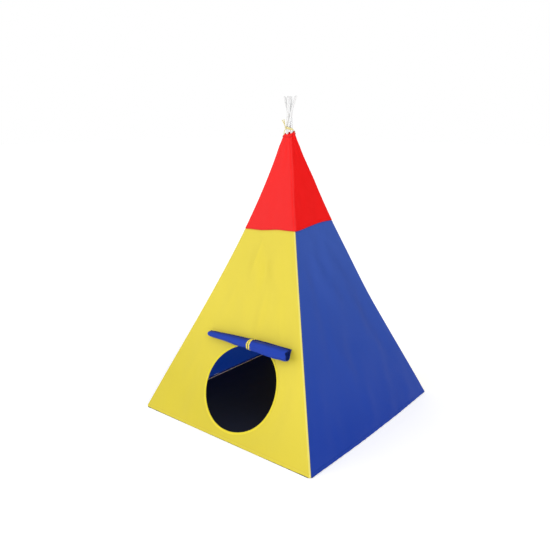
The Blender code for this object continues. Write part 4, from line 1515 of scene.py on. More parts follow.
    def sew(self, side: Side) -> None:
        """Sews a side's hem, the seam under its cap and the edges that it wraps over its corners.

        Args:
            side: The side of the tent.
        """
        form = self.form
        share = np.linspace(-0.995, 0.995, 240)
        keep = self.panel_keep if side.body == COVER_BODY else None
        cloth_thread = "yellow_thread" if side in (Side.FRONT, Side.BACK) else "blue_thread"
        slot = self.finishes.side_cloth(side)[1]
        level = np.zeros(len(share))
        height = self.hem(side, Columns(share, level, level)) + self.hem_fold - 0.0025
        lower = [self.line(side, share, height, self.panel_relief, 0.0005)]
        thin, proud = share[::2], self.cap_proud + 0.0004
        upper = [
            self.line(side, thin, form.seam(side, thin) + rise, self.cap_relief, proud)
            for rise in (0.0035, 0.0062)
        ]
        for edge, sign in zip(self.edges(side), (-1, 1)):
            if edge is Edge.WRAP:
                angle = sign * (self.wrap_turn - math.radians(13))
                z = np.linspace(0.022, form.seam_height - 0.022, 160)
                ends = np.full(len(z), float(sign))
                lower.append(self.line(side, ends, z, self.panel_relief, 0.0001, np.full(len(z), angle)))
                z = np.linspace(form.seam_height + 0.026, form.neck_height - 0.05, 80)
                ends = np.full(len(z), float(sign))
                upper.append(
                    self.line(side, ends, z, self.cap_relief, self.cap_proud + 0.0001, np.full(len(z), angle))
                )
        mounting = Mounting(side.body, slot, (), keep)
        self.stitcher.sew(side.label + "_lower_stitches", lower, self.finishes[cloth_thread], mounting)
        mounting = Mounting(side.body, "red_cloth", (), keep)
        self.stitcher.sew(side.label + "_cap_stitches", upper, self.finishes["red_thread"], mounting)

    def build(self) -> None:
        """Builds and sews all four sides."""
        for side in Side:
            self.build_cap(side)
            self.build_panel(side)
            self.sew(side)


@dataclass
class NeckEdge:
    """The turned hem round the top hole, and the ribbon tied round the poles above it."""

    form: TentForm
    finishes: Finishes
    stitcher: Stitcher
    height: float = 0.014
    proud: float = 0.0018
    thickness: float = 0.0016
    gathered: float = 0.0222
    draw_from: float = -0.011
    corner: float = 0.0075
    keep: float = 0.66
    tie_height: float = 1.3165
    tie_width: float = 0.0052
    tie_tilts: tuple[float, float] = (-0.17, -0.24)
    ribbon: float = 0.0006

    def _round(self, z_of: Callable[[Side, np.ndarray], np.ndarray], out: float, rise: float) -> np.ndarray:
        """A line round the neck, square at the hem's foot and drawn in to a ring at its top.

        Args:
            z_of: The height of the top edge across a side.
            out: How far the line lies out of the cover's face.
            rise: How far it lies above the top edge.

        Returns:
            Its points.
        """
        points = []
        share = np.append(np.linspace(-1, 1, 13), np.ones(9))
        turn = np.append(np.zeros(13), np.linspace(0, math.pi / 2, 11)[1:-1])
        drawn = smooth(rise, self.draw_from, -0.001)
        for side in Side:
            following = Side((side.value + 1) % 4)
            z = np.full(len(share), self.form.neck_height)
            for _ in range(2):
                ring = (self.gathered - self.proud) * drawn
                half = self.form.half_width(z + rise) * (1 - drawn) + ring + out
                corner = self.corner * (1 - drawn) + half * drawn
                along = (half - corner) * share + corner * np.sin(turn)
                away = half - corner + corner * np.cos(turn)
                past = z_of(following, -away / np.maximum(along, 1e-9))
                z = np.where(along <= away, z_of(side, along / away), past)
            points.append(self.form.place(side, along, away, z + rise))
        return np.concatenate(points)

    def build_hem(self) -> bpy.types.Object:
        """Builds the turned hem as one soft ring, a little gathered.

        Returns:
            The new object.
        """
        proud, deep = self.proud, self.proud - self.thickness
        section = (
            (proud - 0.0004, -self.height), (proud + 0.0001, -self.height + 0.0008), (proud, -0.010),
            (proud - 0.0001, -0.006), (proud + 0.0001, -0.0025), (proud - 0.0002, -0.0008),
            (proud - 0.0007, 0.0002), (proud - 0.0014, 0.0003), (deep, -0.0008), (deep, -0.006),
            (deep, -self.height),
        )
        rings = np.stack([self._round(self.form.neck, out, rise) for out, rise in section], axis=1)
        angle = np.arctan2(rings[..., 1], rings[..., 0])
        gather = 0.00045 * np.sin(17 * angle + 2 * np.sin(3 * angle))
        radial = unit(rings * np.array((1.0, 1.0, 0.0)))
        rings = rings + radial * gather[..., None]
        # Painted shade along the hem's lower edge and along its turned top.
        shade = np.zeros(rings.shape[:2])
        shade[:, 0:2] = 0.6
        shade[:, 6:8] = 0.35
        obj = loft_object("neck_hem", rings, self.finishes["red_polyester"], closed=True, shade=shade)
        return Mounting(COVER_BODY, "red_cloth", ("neck_casing",), self.keep).carry(obj)

    def sew(self) -> None:
        """Sews the turned hem's lower edge."""
        run = self._round(self.form.neck, self.proud + 0.0003, -0.0112)
        run = np.concatenate((run, run[:1]))
        mounting = Mounting(COVER_BODY, "red_cloth", (), self.keep)
        thread = self.finishes["red_thread"]
        self.stitcher.sew("neck_stitches", [run], thread, mounting, 0.0030, 0.0023, 0.0005)

    def _loop(self, height: float, tilt: float, extra: float) -> tuple[np.ndarray, np.ndarray]:
        """A closed line round the four poles.

        Args:
            height: Its height at the middle.
            tilt: How fast it rises towards the back right.
            extra: How far it lies outside a ribbon that touches the poles.

        Returns:
            Its points and the way that it faces at each.
        """
        points, facing = [], []
        for corner in Corner:
            pole = self.form.pole_point(corner, height)
            middle = math.atan2(pole[1], pole[0])
            for angle in middle + np.linspace(-math.pi / 4, math.pi / 4, 7):
                out = np.array((math.cos(angle), math.sin(angle), 0.0))
                point = pole + out * (self.form.pole_radius * 1.08 + 0.0006 + extra)
                point[2] = height + tilt * (point[0] + point[1])
                points.append(point)
                facing.append(out)
        return np.array(points), np.array(facing)

    def build_tie(self) -> None:
        """Ties the ribbon: two turns round the poles, two strands down to the hem, a knot and two tails."""
        cream = self.finishes["cream_ribbon"]
        carried = Mounting(COVER_BODY, "cream_ribbon", (), self.keep)
        path, facing = self._loop(self.tie_height - 0.0026, self.tie_tilts[0], 0.0)
        first = ribbon_object("neck_ribbon", path, facing, self.tie_width, self.ribbon, cream, closed=True)
        Mounting(COVER_BODY, "cream_ribbon", ("neck_tie",), self.keep).carry(first)
        path, facing = self._loop(self.tie_height + 0.0014, self.tie_tilts[1], 0.0009)
        width = self.tie_width * 0.85
        over = ribbon_object("neck_ribbon_over", path, facing, width, self.ribbon, cream, closed=True)
        carried.carry(over)
        strands = (
            (Corner.FRONT_LEFT, Side.FRONT, "neck_strand_left"),
            (Corner.BACK_RIGHT, Side.RIGHT, "neck_strand_right"),
        )
        for corner, side, name in strands:
            carried.carry(self._strand(corner, side, name))
        self._build_tails()

    def _strand(self, corner: Corner, side: Side, name: str) -> bpy.types.Object:
        """A short strand from a corner of the hem up over the poles to the turns of ribbon.

        Args:
            corner: The corner that it starts from.
            side: The side that its face is turned to.
            name: The piece's name.

        Returns:
            The new object.
        """
        outward = unit(np.array((*corner.signs, 0.0)))
        top_edge = self.form.neck_height + self.form.neck_dips[corner.value]
        start = outward * 0.0256 + UP * (top_edge - 0.0055)
        pole = self.form.pole_point(corner, self.tie_height)
        end = pole + outward * (self.form.pole_radius + 0.0022)
        end[2] = self.tie_height + self.tie_tilts[1] * (end[0] + end[1])
        share = np.linspace(0, 1, 14)[:, None]
        path = start + (end - start) * share + outward * 0.0030 * np.sin(math.pi * share)
        facing = np.tile(side.outward + outward * 0.3 + UP * 0.2, (len(path), 1))
        width = 0.0058 - 0.0010 * np.sin(math.pi * share[:, 0])
        return ribbon_object(name, path, facing, width, self.ribbon, self.finishes["cream_ribbon"], cup=0.15)

    def _build_tails(self) -> None:
        """The knot between the two left poles, and its two tails up and to the left."""
        cream = self.finishes["cream_ribbon"]
        left = (Corner.BACK_LEFT, Corner.FRONT_LEFT)
        between = sum(self.form.pole_point(corner, self.tie_height) for corner in left)
        facing = unit(between * np.array((1.0, 1.0, 0.0)))
        aside = np.cross(UP, facing)
        centre = between / 2 + facing * 0.0112
        centre[2] = self.tie_height + self.tie_tilts[1] * (centre[0] + centre[1])
        turn = np.linspace(0, TAU, 30, endpoint=False)[:, None]
        knot = centre + facing * 0.0030 * np.cos(turn) + (aside * 0.5 + UP) * 0.0034 * np.sin(turn)
        look = facing * np.cos(turn) + (aside * 0.5 + UP) * np.sin(turn)
        obj = ribbon_object("neck_knot", knot, look, 0.0052, 0.0012, cream, closed=True)
        Mounting(COVER_BODY, "cream_ribbon", ("neck_tie_ends",), self.keep).carry(obj)
        tails = (("neck_tail_long", 0.029, 0.024, 0.6), ("neck_tail_short", 0.032, 0.008, -0.4))
        for name, reach, lean, curl in tails:
            share = np.linspace(0, 1, 22)[:, None]
            rise = UP * reach * share + (facing * 0.55 + aside * curl * 0.25) * lean * share**1.5
            sway = aside * 0.0016 * curl * np.sin(math.pi * share * 1.4)
            path = centre + UP * 0.001 + facing * 0.002 + rise + sway
            look = facing + aside * (0.5 * curl + 0.8 * share)
            width = 0.0060 * (1 - 0.15 * share[:, 0])
            piece = ribbon_object(name, path, look, width, self.ribbon, cream, cup=0.12)
            Mounting(COVER_BODY, "cream_ribbon", (), self.keep).carry(piece)

    def build(self) -> None:
        """Builds the hem, its stitches and the ribbon."""
        self.build_hem()
        self.sew()
        self.build_tie()


@dataclass
class PoleFrame:
    """The four jointed poles, and the sleeves and pockets that hold them."""

    form: TentForm
    finishes: Finishes
    wall: float = 0.001
    joints: tuple[float, float] = (0.47995, 0.9599)
    joint_gap: float = 0.0033
    bottom: float = 0.00975
    plug_dome: float = 0.004
    sleeve_low: float = 0.065
    sleeve_top: float = 1.190
    sleeve_radius: float = 0.0064
    sleeve_cloth: float = 0.0007
    pocket_height: float = 0.0647
    pocket_radius: float = 0.0075
    sides: int = 24

    def rings(self, corner: Corner, z: np.ndarray, radius: np.ndarray, level: bool = False) -> np.ndarray:
        """Rings round a pole, square to it or level.

        Args:
            corner: The pole's corner.
            z: The rings' heights.
            radius: Their radii, one for each or one for each point.
            level: Whether the rings lie level.

        Returns:
            Points by ring.
        """
        step = self.form.pole_radius / 2
        centre = self.form.pole_point(corner, z)
        tangent = unit(self.form.pole_point(corner, z + step) - self.form.pole_point(corner, z - step))
        if level:
            tangent = np.tile(UP, (len(z), 1))
        sideways = unit(np.cross(tangent, np.array((*corner.signs, 0.0))))
        outward = np.cross(sideways, tangent)
        angle = (TAU * np.arange(self.sides) / self.sides)[None, :, None]
        circle = outward[:, None] * np.cos(angle) + sideways[:, None] * np.sin(angle)
        if radius.ndim == 1:
            radius = radius[:, None]
        return centre[:, None] + circle * np.broadcast_to(radius, circle.shape[:2])[..., None]

    def tube(self, corner: Corner, part: str, low: float, high: float) -> bpy.types.Object:
        """One length of a pole, a tube with its bore.

        Args:
            corner: The pole's corner.
            part: Which length it is, as in its node's name.
            low: The height where it starts.
            high: The height where it ends.

        Returns:
            The new object.
        """
        steps = max(int((high - low) / 0.012), 12)
        z = np.linspace(low, high, steps)
        ease = np.full(len(z), self.form.pole_radius)
        ease[[0, -1]] -= 0.0003
        outer = self.rings(corner, z, ease)
        inner = self.rings(corner, z[::-1], np.full(len(z), self.form.pole_radius - self.wall))
        name = f"{corner.label}_{part}_tube"
        obj = loft_object(name, np.concatenate((outer, inner)), self.finishes["white_plastic"], closed=True)
        return Mounting(corner.body, "white_plastic", (f"{corner.label}_pole_{part}",)).carry(obj)

    def plug(self, corner: Corner) -> bpy.types.Object:
        """The domed plug in a pole's top.

        Args:
            corner: The pole's corner.

        Returns:
            The new object.
        """
        seat = self.form.tip_height + self.form.pole_gap
        turn = np.linspace(0, math.pi / 2 * 0.93, 9)
        radius = self.form.pole_radius
        dome = seat + 0.0008 + self.plug_dome * 0.8 * np.sin(turn)
        z = np.concatenate(([seat - 0.010, seat, seat + 0.0001], dome))
        peg = radius - self.wall - self.form.pole_gap
        size = np.concatenate(([peg, peg, radius * 0.97], radius * 1.02 * np.cos(turn)))
        name = corner.label + "_end_plug"
        obj = loft_object(name, self.rings(corner, z, size), self.finishes["white_plastic"])
        return Mounting(corner.body, "white_plastic", (corner.label + "_tip_plug",)).carry(obj)

    def sleeve(self, corner: Corner) -> bpy.types.Object:
        """The slack cloth sleeve that a pole runs in, open at both ends.

        Args:
            corner: The pole's corner.

        Returns:
            The new object.
        """
        z = np.linspace(self.sleeve_low, self.sleeve_top, 190)
        angle = TAU * np.arange(self.sides) / self.sides
        grid_z, grid_angle = np.meshgrid(z, angle, indexing="ij")
        slack = Waves(41 + corner.value, 0.10, 0.02, 0.00035, 1.0).relief(grid_angle * 0.01, grid_z)
        slack = np.clip(slack, -0.00035, 0.0006)
        outer = self.rings(corner, z, self.sleeve_radius + slack)
        inner = self.rings(corner, z[::-1], (self.sleeve_radius - self.sleeve_cloth + slack)[::-1])
        cloth, slot = self.finishes.corner_cloth(corner)
        obj = loft_object(corner.label + "_pole_sleeve", np.concatenate((outer, inner)), cloth, closed=True)
        Mounting(corner.body, slot, (corner.label + "_sleeve",)).carry(obj)
        return obj

    def pocket(self, corner: Corner) -> bpy.types.Object:
        """The closed cloth cup that a pole's foot stands in.

        Args:
            corner: The pole's corner.

        Returns:
            The new object.
        """
        turn = np.linspace(0, math.pi / 2, 7)
        round_in, lip = 0.0030, 0.0007
        foot = 0.0003 + round_in * (1 - np.cos(turn))
        foot_size = self.pocket_radius - round_in * (1 - np.sin(turn))
        wall_size = np.full(14, self.pocket_radius)
        z = np.concatenate((foot, np.linspace(0.006, self.pocket_height, 14)))
        inner_z = np.concatenate((np.linspace(self.pocket_height, 0.006, 14), (0.0016,)))
        outer = self.rings(corner, z, np.concatenate((foot_size, wall_size)), True)
        inner = self.rings(corner, inner_z, np.concatenate((wall_size - lip, foot_size[:1])), True)
        rings = np.concatenate((outer, inner))
        cloth, slot = self.finishes.corner_cloth(corner)
        obj = loft_object(corner.label + "_foot_pocket", rings, cloth)
        return Mounting(corner.body, slot, (corner.label + "_corner_pocket",)).carry(obj)

    def build(self) -> None:
        """Builds all four poles and dresses the solids that stay."""
        spans = (
            ("lower", self.bottom, self.joints[0] - self.joint_gap),
            ("middle", self.joints[0] + self.joint_gap, self.joints[1] - self.joint_gap),
            ("upper", self.joints[1] + self.joint_gap, self.form.tip_height),
        )
        for corner in Corner:
            for part, low, high in spans:
                self.tube(corner, part, low, high)
            self.plug(corner)
            self.sleeve(corner)
            self.pocket(corner)
            for part in ("lower_joiner", "upper_joiner", "foot_cap"):
                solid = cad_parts[f"{corner.label}_{part}"]
                solid.data.materials.clear()
                solid.data.materials.append(self.finishes["white_plastic"])


@dataclass
class Floor:
    """The dark floor cloth, its edge below the hem and the light tape sewn round it."""

    form: TentForm
    finishes: Finishes
    corner_cut: float = 0.034
    keep: float = 0.604
    edge_height: float = 0.0034
    tape_width: float = 0.0042

    def _outline(self, reach: float, cut: float, points: int = 60) -> np.ndarray:
        """A square about the middle with its corners cut across, as one closed line.

        Args:
            reach: Half the square's side.
            cut: How much of it each corner loses.
            points: How many points a side has.

        Returns:
            Its points, on the ground.
        """
        line = []
        for side in Side:
            share = np.linspace(-1, 1, points)
            line.append(self.form.place(side, share * (reach - cut), np.float64(reach), np.float64(0.0)))
        return np.concatenate(line)

    def build_sheet(self) -> bpy.types.Object:
        """Builds the floor cloth, slightly uneven on the ground.

        Returns:
            The new object.
        """
        reach = self.form.base_side / 2 - 0.0028
        line = np.linspace(-reach, reach, 110)
        x, y = np.meshgrid(line, line)
        limit = 2 * reach - self.corner_cut
        scale = np.minimum(1.0, limit / np.maximum(np.abs(x) + np.abs(y), 1e-6))
        x, y = x * scale, y * scale
        inside = smooth(reach - np.maximum(np.abs(x), np.abs(y)), 0.0, 0.06)
        swell = Waves(61, 0.35, 0.05, 0.0011, 1.0).relief(x, y)
        z = 0.0013 + np.clip(swell + 0.0008, 0.0, 0.0030) * inside
        surface = np.stack((x, y, z), -1)
        uv = np.stack((x, y), -1)
        obj = sheet_object("floor_cloth", surface, 0.0009, self.finishes["navy_floor"], uv)
        Mounting(COVER_BODY, "navy_cloth", ("floor_sheet",), self.keep).carry(obj)
        return obj

    def build_edge(self) -> bpy.types.Object:
        """The floor cloth's turned edge, a thin dark line that shows under the hem.

        Returns:
            The new object.
        """
        reach = self.form.base_side / 2
        section = (
            (-0.0022, 0.0002), (-0.0006, 0.0004), (-0.0002, 0.0015), (-0.0004, self.edge_height),
            (-0.0012, self.edge_height + 0.0004), (-0.0022, self.edge_height),
        )
        rings = np.stack([self._outline(reach + out, 0.013) + UP * z for out, z in section], axis=1)
        obj = loft_object("floor_edge", rings, self.finishes["navy_floor"], closed=True)
        return Mounting(COVER_BODY, "navy_cloth", (), self.keep).carry(obj)

    def build_trims(self) -> None:
        """The cover's blue facing, turned in over the floor's edge, and the light tape on its inner edge."""
        outer, inner, tape = -0.0050, -0.0182, self.tape_width
        pieces = (
            ("floor_facing", "blue_polyester", "blue_cloth", (), (
                (outer, 0.0038), (outer, 0.0052), (-0.0100, 0.0056), (inner, 0.0051), (inner, 0.0038),
            )),
            ("floor_edge_tape", "floor_tape", "edge_tape", ("floor_tape",), (
                (inner + 0.0010, 0.0054), (inner + 0.0008, 0.0060), (inner, 0.0061), (inner - 0.0006, 0.0055),
                (inner - tape, 0.0050), (inner - tape, 0.0038), (inner - 0.0004, 0.0038),
                (inner - 0.0002, 0.0054),
            )),
        )
        reach, cut = self.form.base_side / 2, self.corner_cut
        for name, finish, slot, replaced, section in pieces:
            rings = np.stack([self._outline(reach + out, cut) + UP * z for out, z in section], axis=1)
            obj = loft_object(name, rings, self.finishes[finish], closed=True)
            Mounting(COVER_BODY, slot, replaced, self.keep).carry(obj)

    def build(self) -> None:
        """Builds the floor and its trims."""
        self.build_edge()
        self.build_sheet()
        self.build_trims()


@dataclass
class Door:
    """The round door's binding, and its flap, rolled up and tied above it."""

    form: TentForm
    finishes: Finishes
    stitcher: Stitcher
    cover: Cover
    binding_width: float = 0.0092
    seam_height: float = 0.430
    roll_u: float = 0.044
    roll_length: float = 0.480
    roll_turns: float = 3.4
    roll_pitch: float = 0.20
    flap_cloth: float = 0.0011
    flap_out: float = 0.0025
    tie_u: float = 0.070
    ribbon: float = 0.0007
    keep: float = 0.650

    STATIONS = (0.012, 0.072, 0.14, 0.254, 0.365, 0.469, 0.521, 0.575, 0.676, 0.775, 0.869, 0.961, 1.002)
    RADII = (
        0.0128, 0.0150, 0.0155, 0.0178, 0.0208, 0.0214, 0.0226,
        0.0250, 0.0262, 0.0278, 0.0283, 0.0283, 0.0265,
    )
    DROPS = (
        0.0336, 0.0325, 0.0313, 0.0294, 0.0298, 0.0283, 0.0268,
        0.0284, 0.0279, 0.0285, 0.0279, 0.0282, 0.0264,
    )

    def ring_line(self, past: float, proud: float, count: int = 240) -> np.ndarray:
        """A closed ring round the door, laid on the front's cloth.

        Args:
            past: How far it lies outside the door's cut edge.
            proud: How far it lies out of the cloth's face.
            count: How many points it has.

        Returns:
            Its points.
        """
        form, cover = self.form, self.cover
        angle = np.linspace(0, TAU, count, endpoint=False)
        radius = cover.door_reach(angle) + past
        u, rise = cover.door_u + radius * np.cos(angle), radius * np.sin(angle)
        outward, upward = form.axes(Side.FRONT, cover.door_height)
        z = cover.door_height + rise * upward[2]
        for _ in range(6):
            reach = form.half_width(z) - form.half_width(cover.door_height)
            offset = form.place(Side.FRONT, np.zeros(count), reach, z - cover.door_height)
            z = z + (rise - offset @ upward) * upward[2]
        out = form.half_width(z) + cover.panel_relief(Side.FRONT, u, z)
        return form.place(Side.FRONT, u, out, z) + proud * outward

    def build_binding(self) -> bpy.types.Object:
        """The tape folded over the door's cut edge, slightly puckered by its stitches.

        Returns:
            The new object.
        """
        width, cloth = self.binding_width, self.cover.cloth
        near, far, back = 0.0002, 0.0011, -cloth - 0.0002
        section = (
            (width, near), (width - 0.0002, far - 0.0003), (width * 0.75, far), (width * 0.35, far + 0.0002),
            (0.0004, far + 0.0001), (-0.0007, far - 0.0006), (-0.0011, -cloth / 2),
            (-0.0007, -cloth - far + 0.0006), (0.0004, -cloth - far), (width * 0.5, -cloth - far - 0.0001),
            (width, -cloth - far + 0.0003), (width, back),
            (0.0004, back), (-0.0003, back + 0.0002), (-0.0003, near - 0.0002), (0.0004, near),
        )
        rings = np.stack([self.ring_line(past, proud) for past, proud in section], axis=1)
        outward, _ = self.form.axes(Side.FRONT, self.cover.door_height)
        angle = np.linspace(0, TAU, len(rings), endpoint=False)
        pucker = 0.00022 * np.sin(61 * angle + 4 * np.sin(3 * angle)) + 0.00015 * np.sin(113 * angle)
        share = np.array([1.0 if 1 <= i <= 4 else 0.3 if i in (0, 15) else 0.0 for i in range(len(section))])
        rings = rings + (pucker[:, None] * share)[..., None] * outward
        # Painted shade along the tape's outer edge, where it meets the cloth.
        shade = np.zeros(rings.shape[:2])
        shade[:, 0] = 0.5
        obj = loft_object("door_edge_tape", rings, self.finishes["yellow_binding"], closed=True, shade=shade)
        Mounting(COVER_BODY, "yellow_tape", ("door_binding",), self.cover.panel_keep).carry(obj)
        run = self.ring_line(width * 0.78, far + 0.0002, 360)
        run = np.concatenate((run, run[:1]))
        mounting = Mounting(COVER_BODY, "yellow_tape", (), self.cover.panel_keep)
        thread = self.finishes["yellow_thread"]
        self.stitcher.sew("door_edge_stitches", [run], thread, mounting, 0.0034, 0.0026, 0.0006)
        return obj

    def _eased(self, share: np.ndarray, values: Sequence[float]) -> np.ndarray:
        """A size at shares of the roll's length, eased between its stations.

        Args:
            share: Places along the roll, 0 to 1.
            values: The size at each station.

        Returns:
            The size at each place.
        """
        line = np.linspace(-0.1, 1.1, 481)
        window = np.hanning(27)
        padded = np.pad(np.interp(line, self.STATIONS, values), 13, mode="edge")
        return np.interp(share, line, np.convolve(padded, window / window.sum(), mode="valid"))

    def _along(self, share: np.ndarray) -> np.ndarray:
        """The roll's radius at shares of its length."""
        return self._eased(share, self.RADII)

    def _axis(self, share: np.ndarray) -> tuple[np.ndarray, np.ndarray]:
        """The roll's middle, out from and up from the flap's sewn edge."""
        return self.flap_out + self._along(share), -self._eased(share, self.DROPS)

    def _sewn(self, share: np.ndarray) -> np.ndarray:
        """How far the flap's sewn edge drops behind the roll, whose slim end hangs lower."""
        return np.minimum(self._along(share) - self._eased(share, self.DROPS) + 0.0015, 0.0)

    def _from_seam(self, u: np.ndarray, out: np.ndarray, up: np.ndarray) -> np.ndarray:
        """Points placed from the flap's sewn edge.

        Args:
            u: Places along the front.
            out: Distances out of its cloth.
            up: Distances up along its cloth.

        Returns:
            The points.
        """
        outward, upward = self.form.axes(Side.FRONT, self.seam_height)
        base = self.form.place(
            Side.FRONT, np.zeros(1), self.form.half_width(self.seam_height), np.array(self.seam_height)
        )[0]
        u, out, up = np.broadcast_arrays(u, out, up)
        return base + u[..., None] * Side.FRONT.along + out[..., None] * outward + up[..., None] * upward

    def _creases(self, share: np.ndarray, angle: np.ndarray) -> np.ndarray:
        """Lengthwise creases of the roll, deeper towards the slack end.

        Args:
            share: Places along the roll, 0 to 1.
            angle: Angles round it.

        Returns:
            How far the cloth stands out, as a share of the roll's radius.
        """
        slack = 0.55 + 0.45 * smooth(share, 0.1, 0.75)
        pinch = np.exp(-(((share - 0.515) / 0.06) ** 2))
        long_folds = np.abs(np.sin(1.5 * angle + 1.1 * share + 0.4)) ** 1.6 * 0.075
        cross_folds = 0.040 * np.sin(4 * angle - 7 * share + 1.0) + 0.026 * np.sin(7 * angle + 9 * share)
        pleats = 0.060 * np.abs(np.sin(4.5 * angle + 0.7)) * pinch
        lumps = 0.030 * np.sin(24 * share + 2 * angle) + 0.022 * np.sin(44 * share - 3 * angle + 1.0)
        lumps = lumps * smooth(share, 0.50, 0.90)
        return -(long_folds + cross_folds + lumps) * slack - pleats

    def build_roll(self) -> bpy.types.Object:
        """Builds the rolled flap: a sheet that hangs from its sewn edge and winds inwards on itself.

        Returns:
            The new object.
        """
        columns, per_turn = 150, 44
        share = np.linspace(0, 1, columns)
        share = np.where(share < 0.05, 0.05 * (share / 0.05) ** 1.6, share)
        steps = int(self.roll_turns * per_turn)
        turn = np.arange(steps + 1) / per_turn
        grid_turn, grid_share = np.meshgrid(turn, share, indexing="ij")
        radius = self._along(grid_share)
        out_axis, up_axis = self._axis(grid_share)
        angle = math.pi + TAU * grid_turn
        tip = np.sqrt(np.clip(1 - (1 - grid_share / 0.032) ** 2, 0.0, 1.0))
        tip = np.where(grid_share < 0.032, 0.42 + 0.58 * tip, 1.0)
        tip = tip * (1 - 0.07 * smooth(grid_share, 0.962, 1.0) ** 2)
        wound = self.roll_pitch * (0.2 * grid_turn + np.maximum(grid_turn - 0.6, 0.0))
        reach = radius * (1.03 - wound) - self.flap_cloth / 2
        fade = smooth(grid_turn, 0.0, 0.22)
        reach = (reach + reach * self._creases(grid_share, angle) * fade) * tip
        out = out_axis + reach * np.cos(angle)
        up = up_axis + reach * np.sin(angle)
        joint = 7
        leaf_share = np.linspace(0, 1, joint, endpoint=False)[:, None]
        leaf_up = self._sewn(share) * (1 - leaf_share) + up[:1] * leaf_share
        leaf_out = (self.flap_out + self.flap_cloth / 2) * (1 - leaf_share) + out[:1] * leaf_share
        leaf_out = leaf_out + 0.0012 * np.sin(math.pi * leaf_share) * np.sin(19 * share + 1)[None, :] ** 2
        out, up = np.concatenate((leaf_out, out)), np.concatenate((leaf_up, up))
        ends = np.concatenate((np.zeros(joint), turn))[:, None]
        turned = np.concatenate((np.full(joint, math.pi), math.pi + TAU * turn))[:, None]
        notch = -0.014 * np.exp(-((np.sin((turned - 0.35) / 2) / 0.24) ** 2))
        to_wall = self._along(np.array(1.0)) * (1 - np.cos(turned)) ** 2 / 2
        ragged = notch - 0.0022 * ends + 0.0035 * np.sin(2 * turned + 0.6) - 0.34 * to_wall
        u = self.roll_u + self.roll_length * (share - 0.5) + ragged * smooth(share, 0.86, 1.0)
        u = u + 0.0020 * ends * (1 - smooth(share, 0.0, 0.05)) - 0.006 * (1 - smooth(share, 0.0, 0.12))
        surface = self._from_seam(u, out, up)
        run = np.cumsum(np.linalg.norm(np.diff(surface, axis=0, prepend=surface[:1]), axis=-1), axis=0)
        uv = np.stack((np.broadcast_to(u, run.shape), run), -1)
        # Painted shade on part of the inner turns, on the strip that hangs from the sewn edge behind the
        # roll, and at the slack end's notch.
        shade = 0.85 * smooth(ends, 0.55, 0.72) * smooth(ends, 1.6, 0.9)
        shade = np.maximum(shade, 0.9 * (ends == 0))
        shade = np.maximum(shade, 0.8 * smooth(share, 0.985, 1.0) * (ends > 0.9))
        blue = self.finishes["blue_flap"]
        obj = sheet_object("rolled_door_flap", surface, self.flap_cloth, blue, uv, shade)
        Mounting(FLAP_BODY, "blue_cloth", ("door_flap",), self.keep).carry(obj)
        return obj

    def build_tie(self) -> None:
        """Two strands of ribbon round the roll, parted a little at its front."""
        yellow = self.finishes["yellow_ribbon"]
        share = (self.tie_u - self.roll_u) / self.roll_length + 0.5
        out_axis, up_axis = (float(part) for part in self._axis(np.array(share)))
        reach = float(self._along(np.array(share))) + self.ribbon
        angle = np.radians(np.linspace(200, 470, 54))
        bumps = 1 + self._creases(np.array(share), angle) * 0.5 * smooth(angle, angle[0], angle[0] + 0.8)
        ring_out, ring_up = out_axis + reach * bumps * np.cos(angle), up_axis + reach * bumps * np.sin(angle)
        start = np.array(((0.0007, 0.0007), (0.0014, up_axis * 0.35), (0.0018, up_axis * 0.7)))
        finish = np.array(((0.0085, 0.0010), (0.0062, 0.0012)))
        out = np.concatenate((start[:, 0], ring_out, finish[:, 0]))
        up = np.concatenate((start[:, 1], ring_up, finish[:, 1]))
        along = np.concatenate((np.zeros(3), np.linspace(0, 1, len(angle)), np.ones(2)))
        part = np.sin(math.pi * along) ** 1.5
        centre = self._from_seam(np.array(self.tie_u), np.array(out_axis), np.array(up_axis))
        for name, sign in (("flap_tie_strand_left", -1), ("flap_tie_strand_right", 1)):
            u = self.tie_u + sign * (0.0010 + 0.0060 * part)
            path = self._from_seam(u, out, up)
            facing = unit(path - centre)
            width = 0.0038 + 0.0066 * part
            obj = ribbon_object(name, path, facing, width, self.ribbon, yellow, cup=0.10)
            replaced = ("door_tie",) if sign < 0 else ()
            Mounting(FLAP_BODY, "yellow_ribbon", replaced, self.keep).carry(obj)

    def sew(self) -> None:
        """Sews the flap's edge to the front cloth, above the roll."""
        left, right = self.roll_u - self.roll_length / 2, self.roll_u + self.roll_length / 2
        u = np.linspace(left + 0.01, right - 0.01, 130)
        z = self.seam_height + 0.0045 + self._sewn((u - self.roll_u) / self.roll_length + 0.5)
        out = self.form.half_width(z) + self.cover.panel_relief(Side.FRONT, u, z) + 0.0003
        run = self.form.place(Side.FRONT, u, out, z)
        mounting = Mounting(COVER_BODY, "yellow_cloth", (), self.cover.panel_keep)
        self.stitcher.sew("flap_seam_stitches", [run], self.finishes["yellow_thread"], mounting)

    def build(self) -> None:
        """Builds the binding, the roll, its tie and its seam."""
        self.build_binding()
        self.build_roll()
        self.build_tie()
        self.sew()


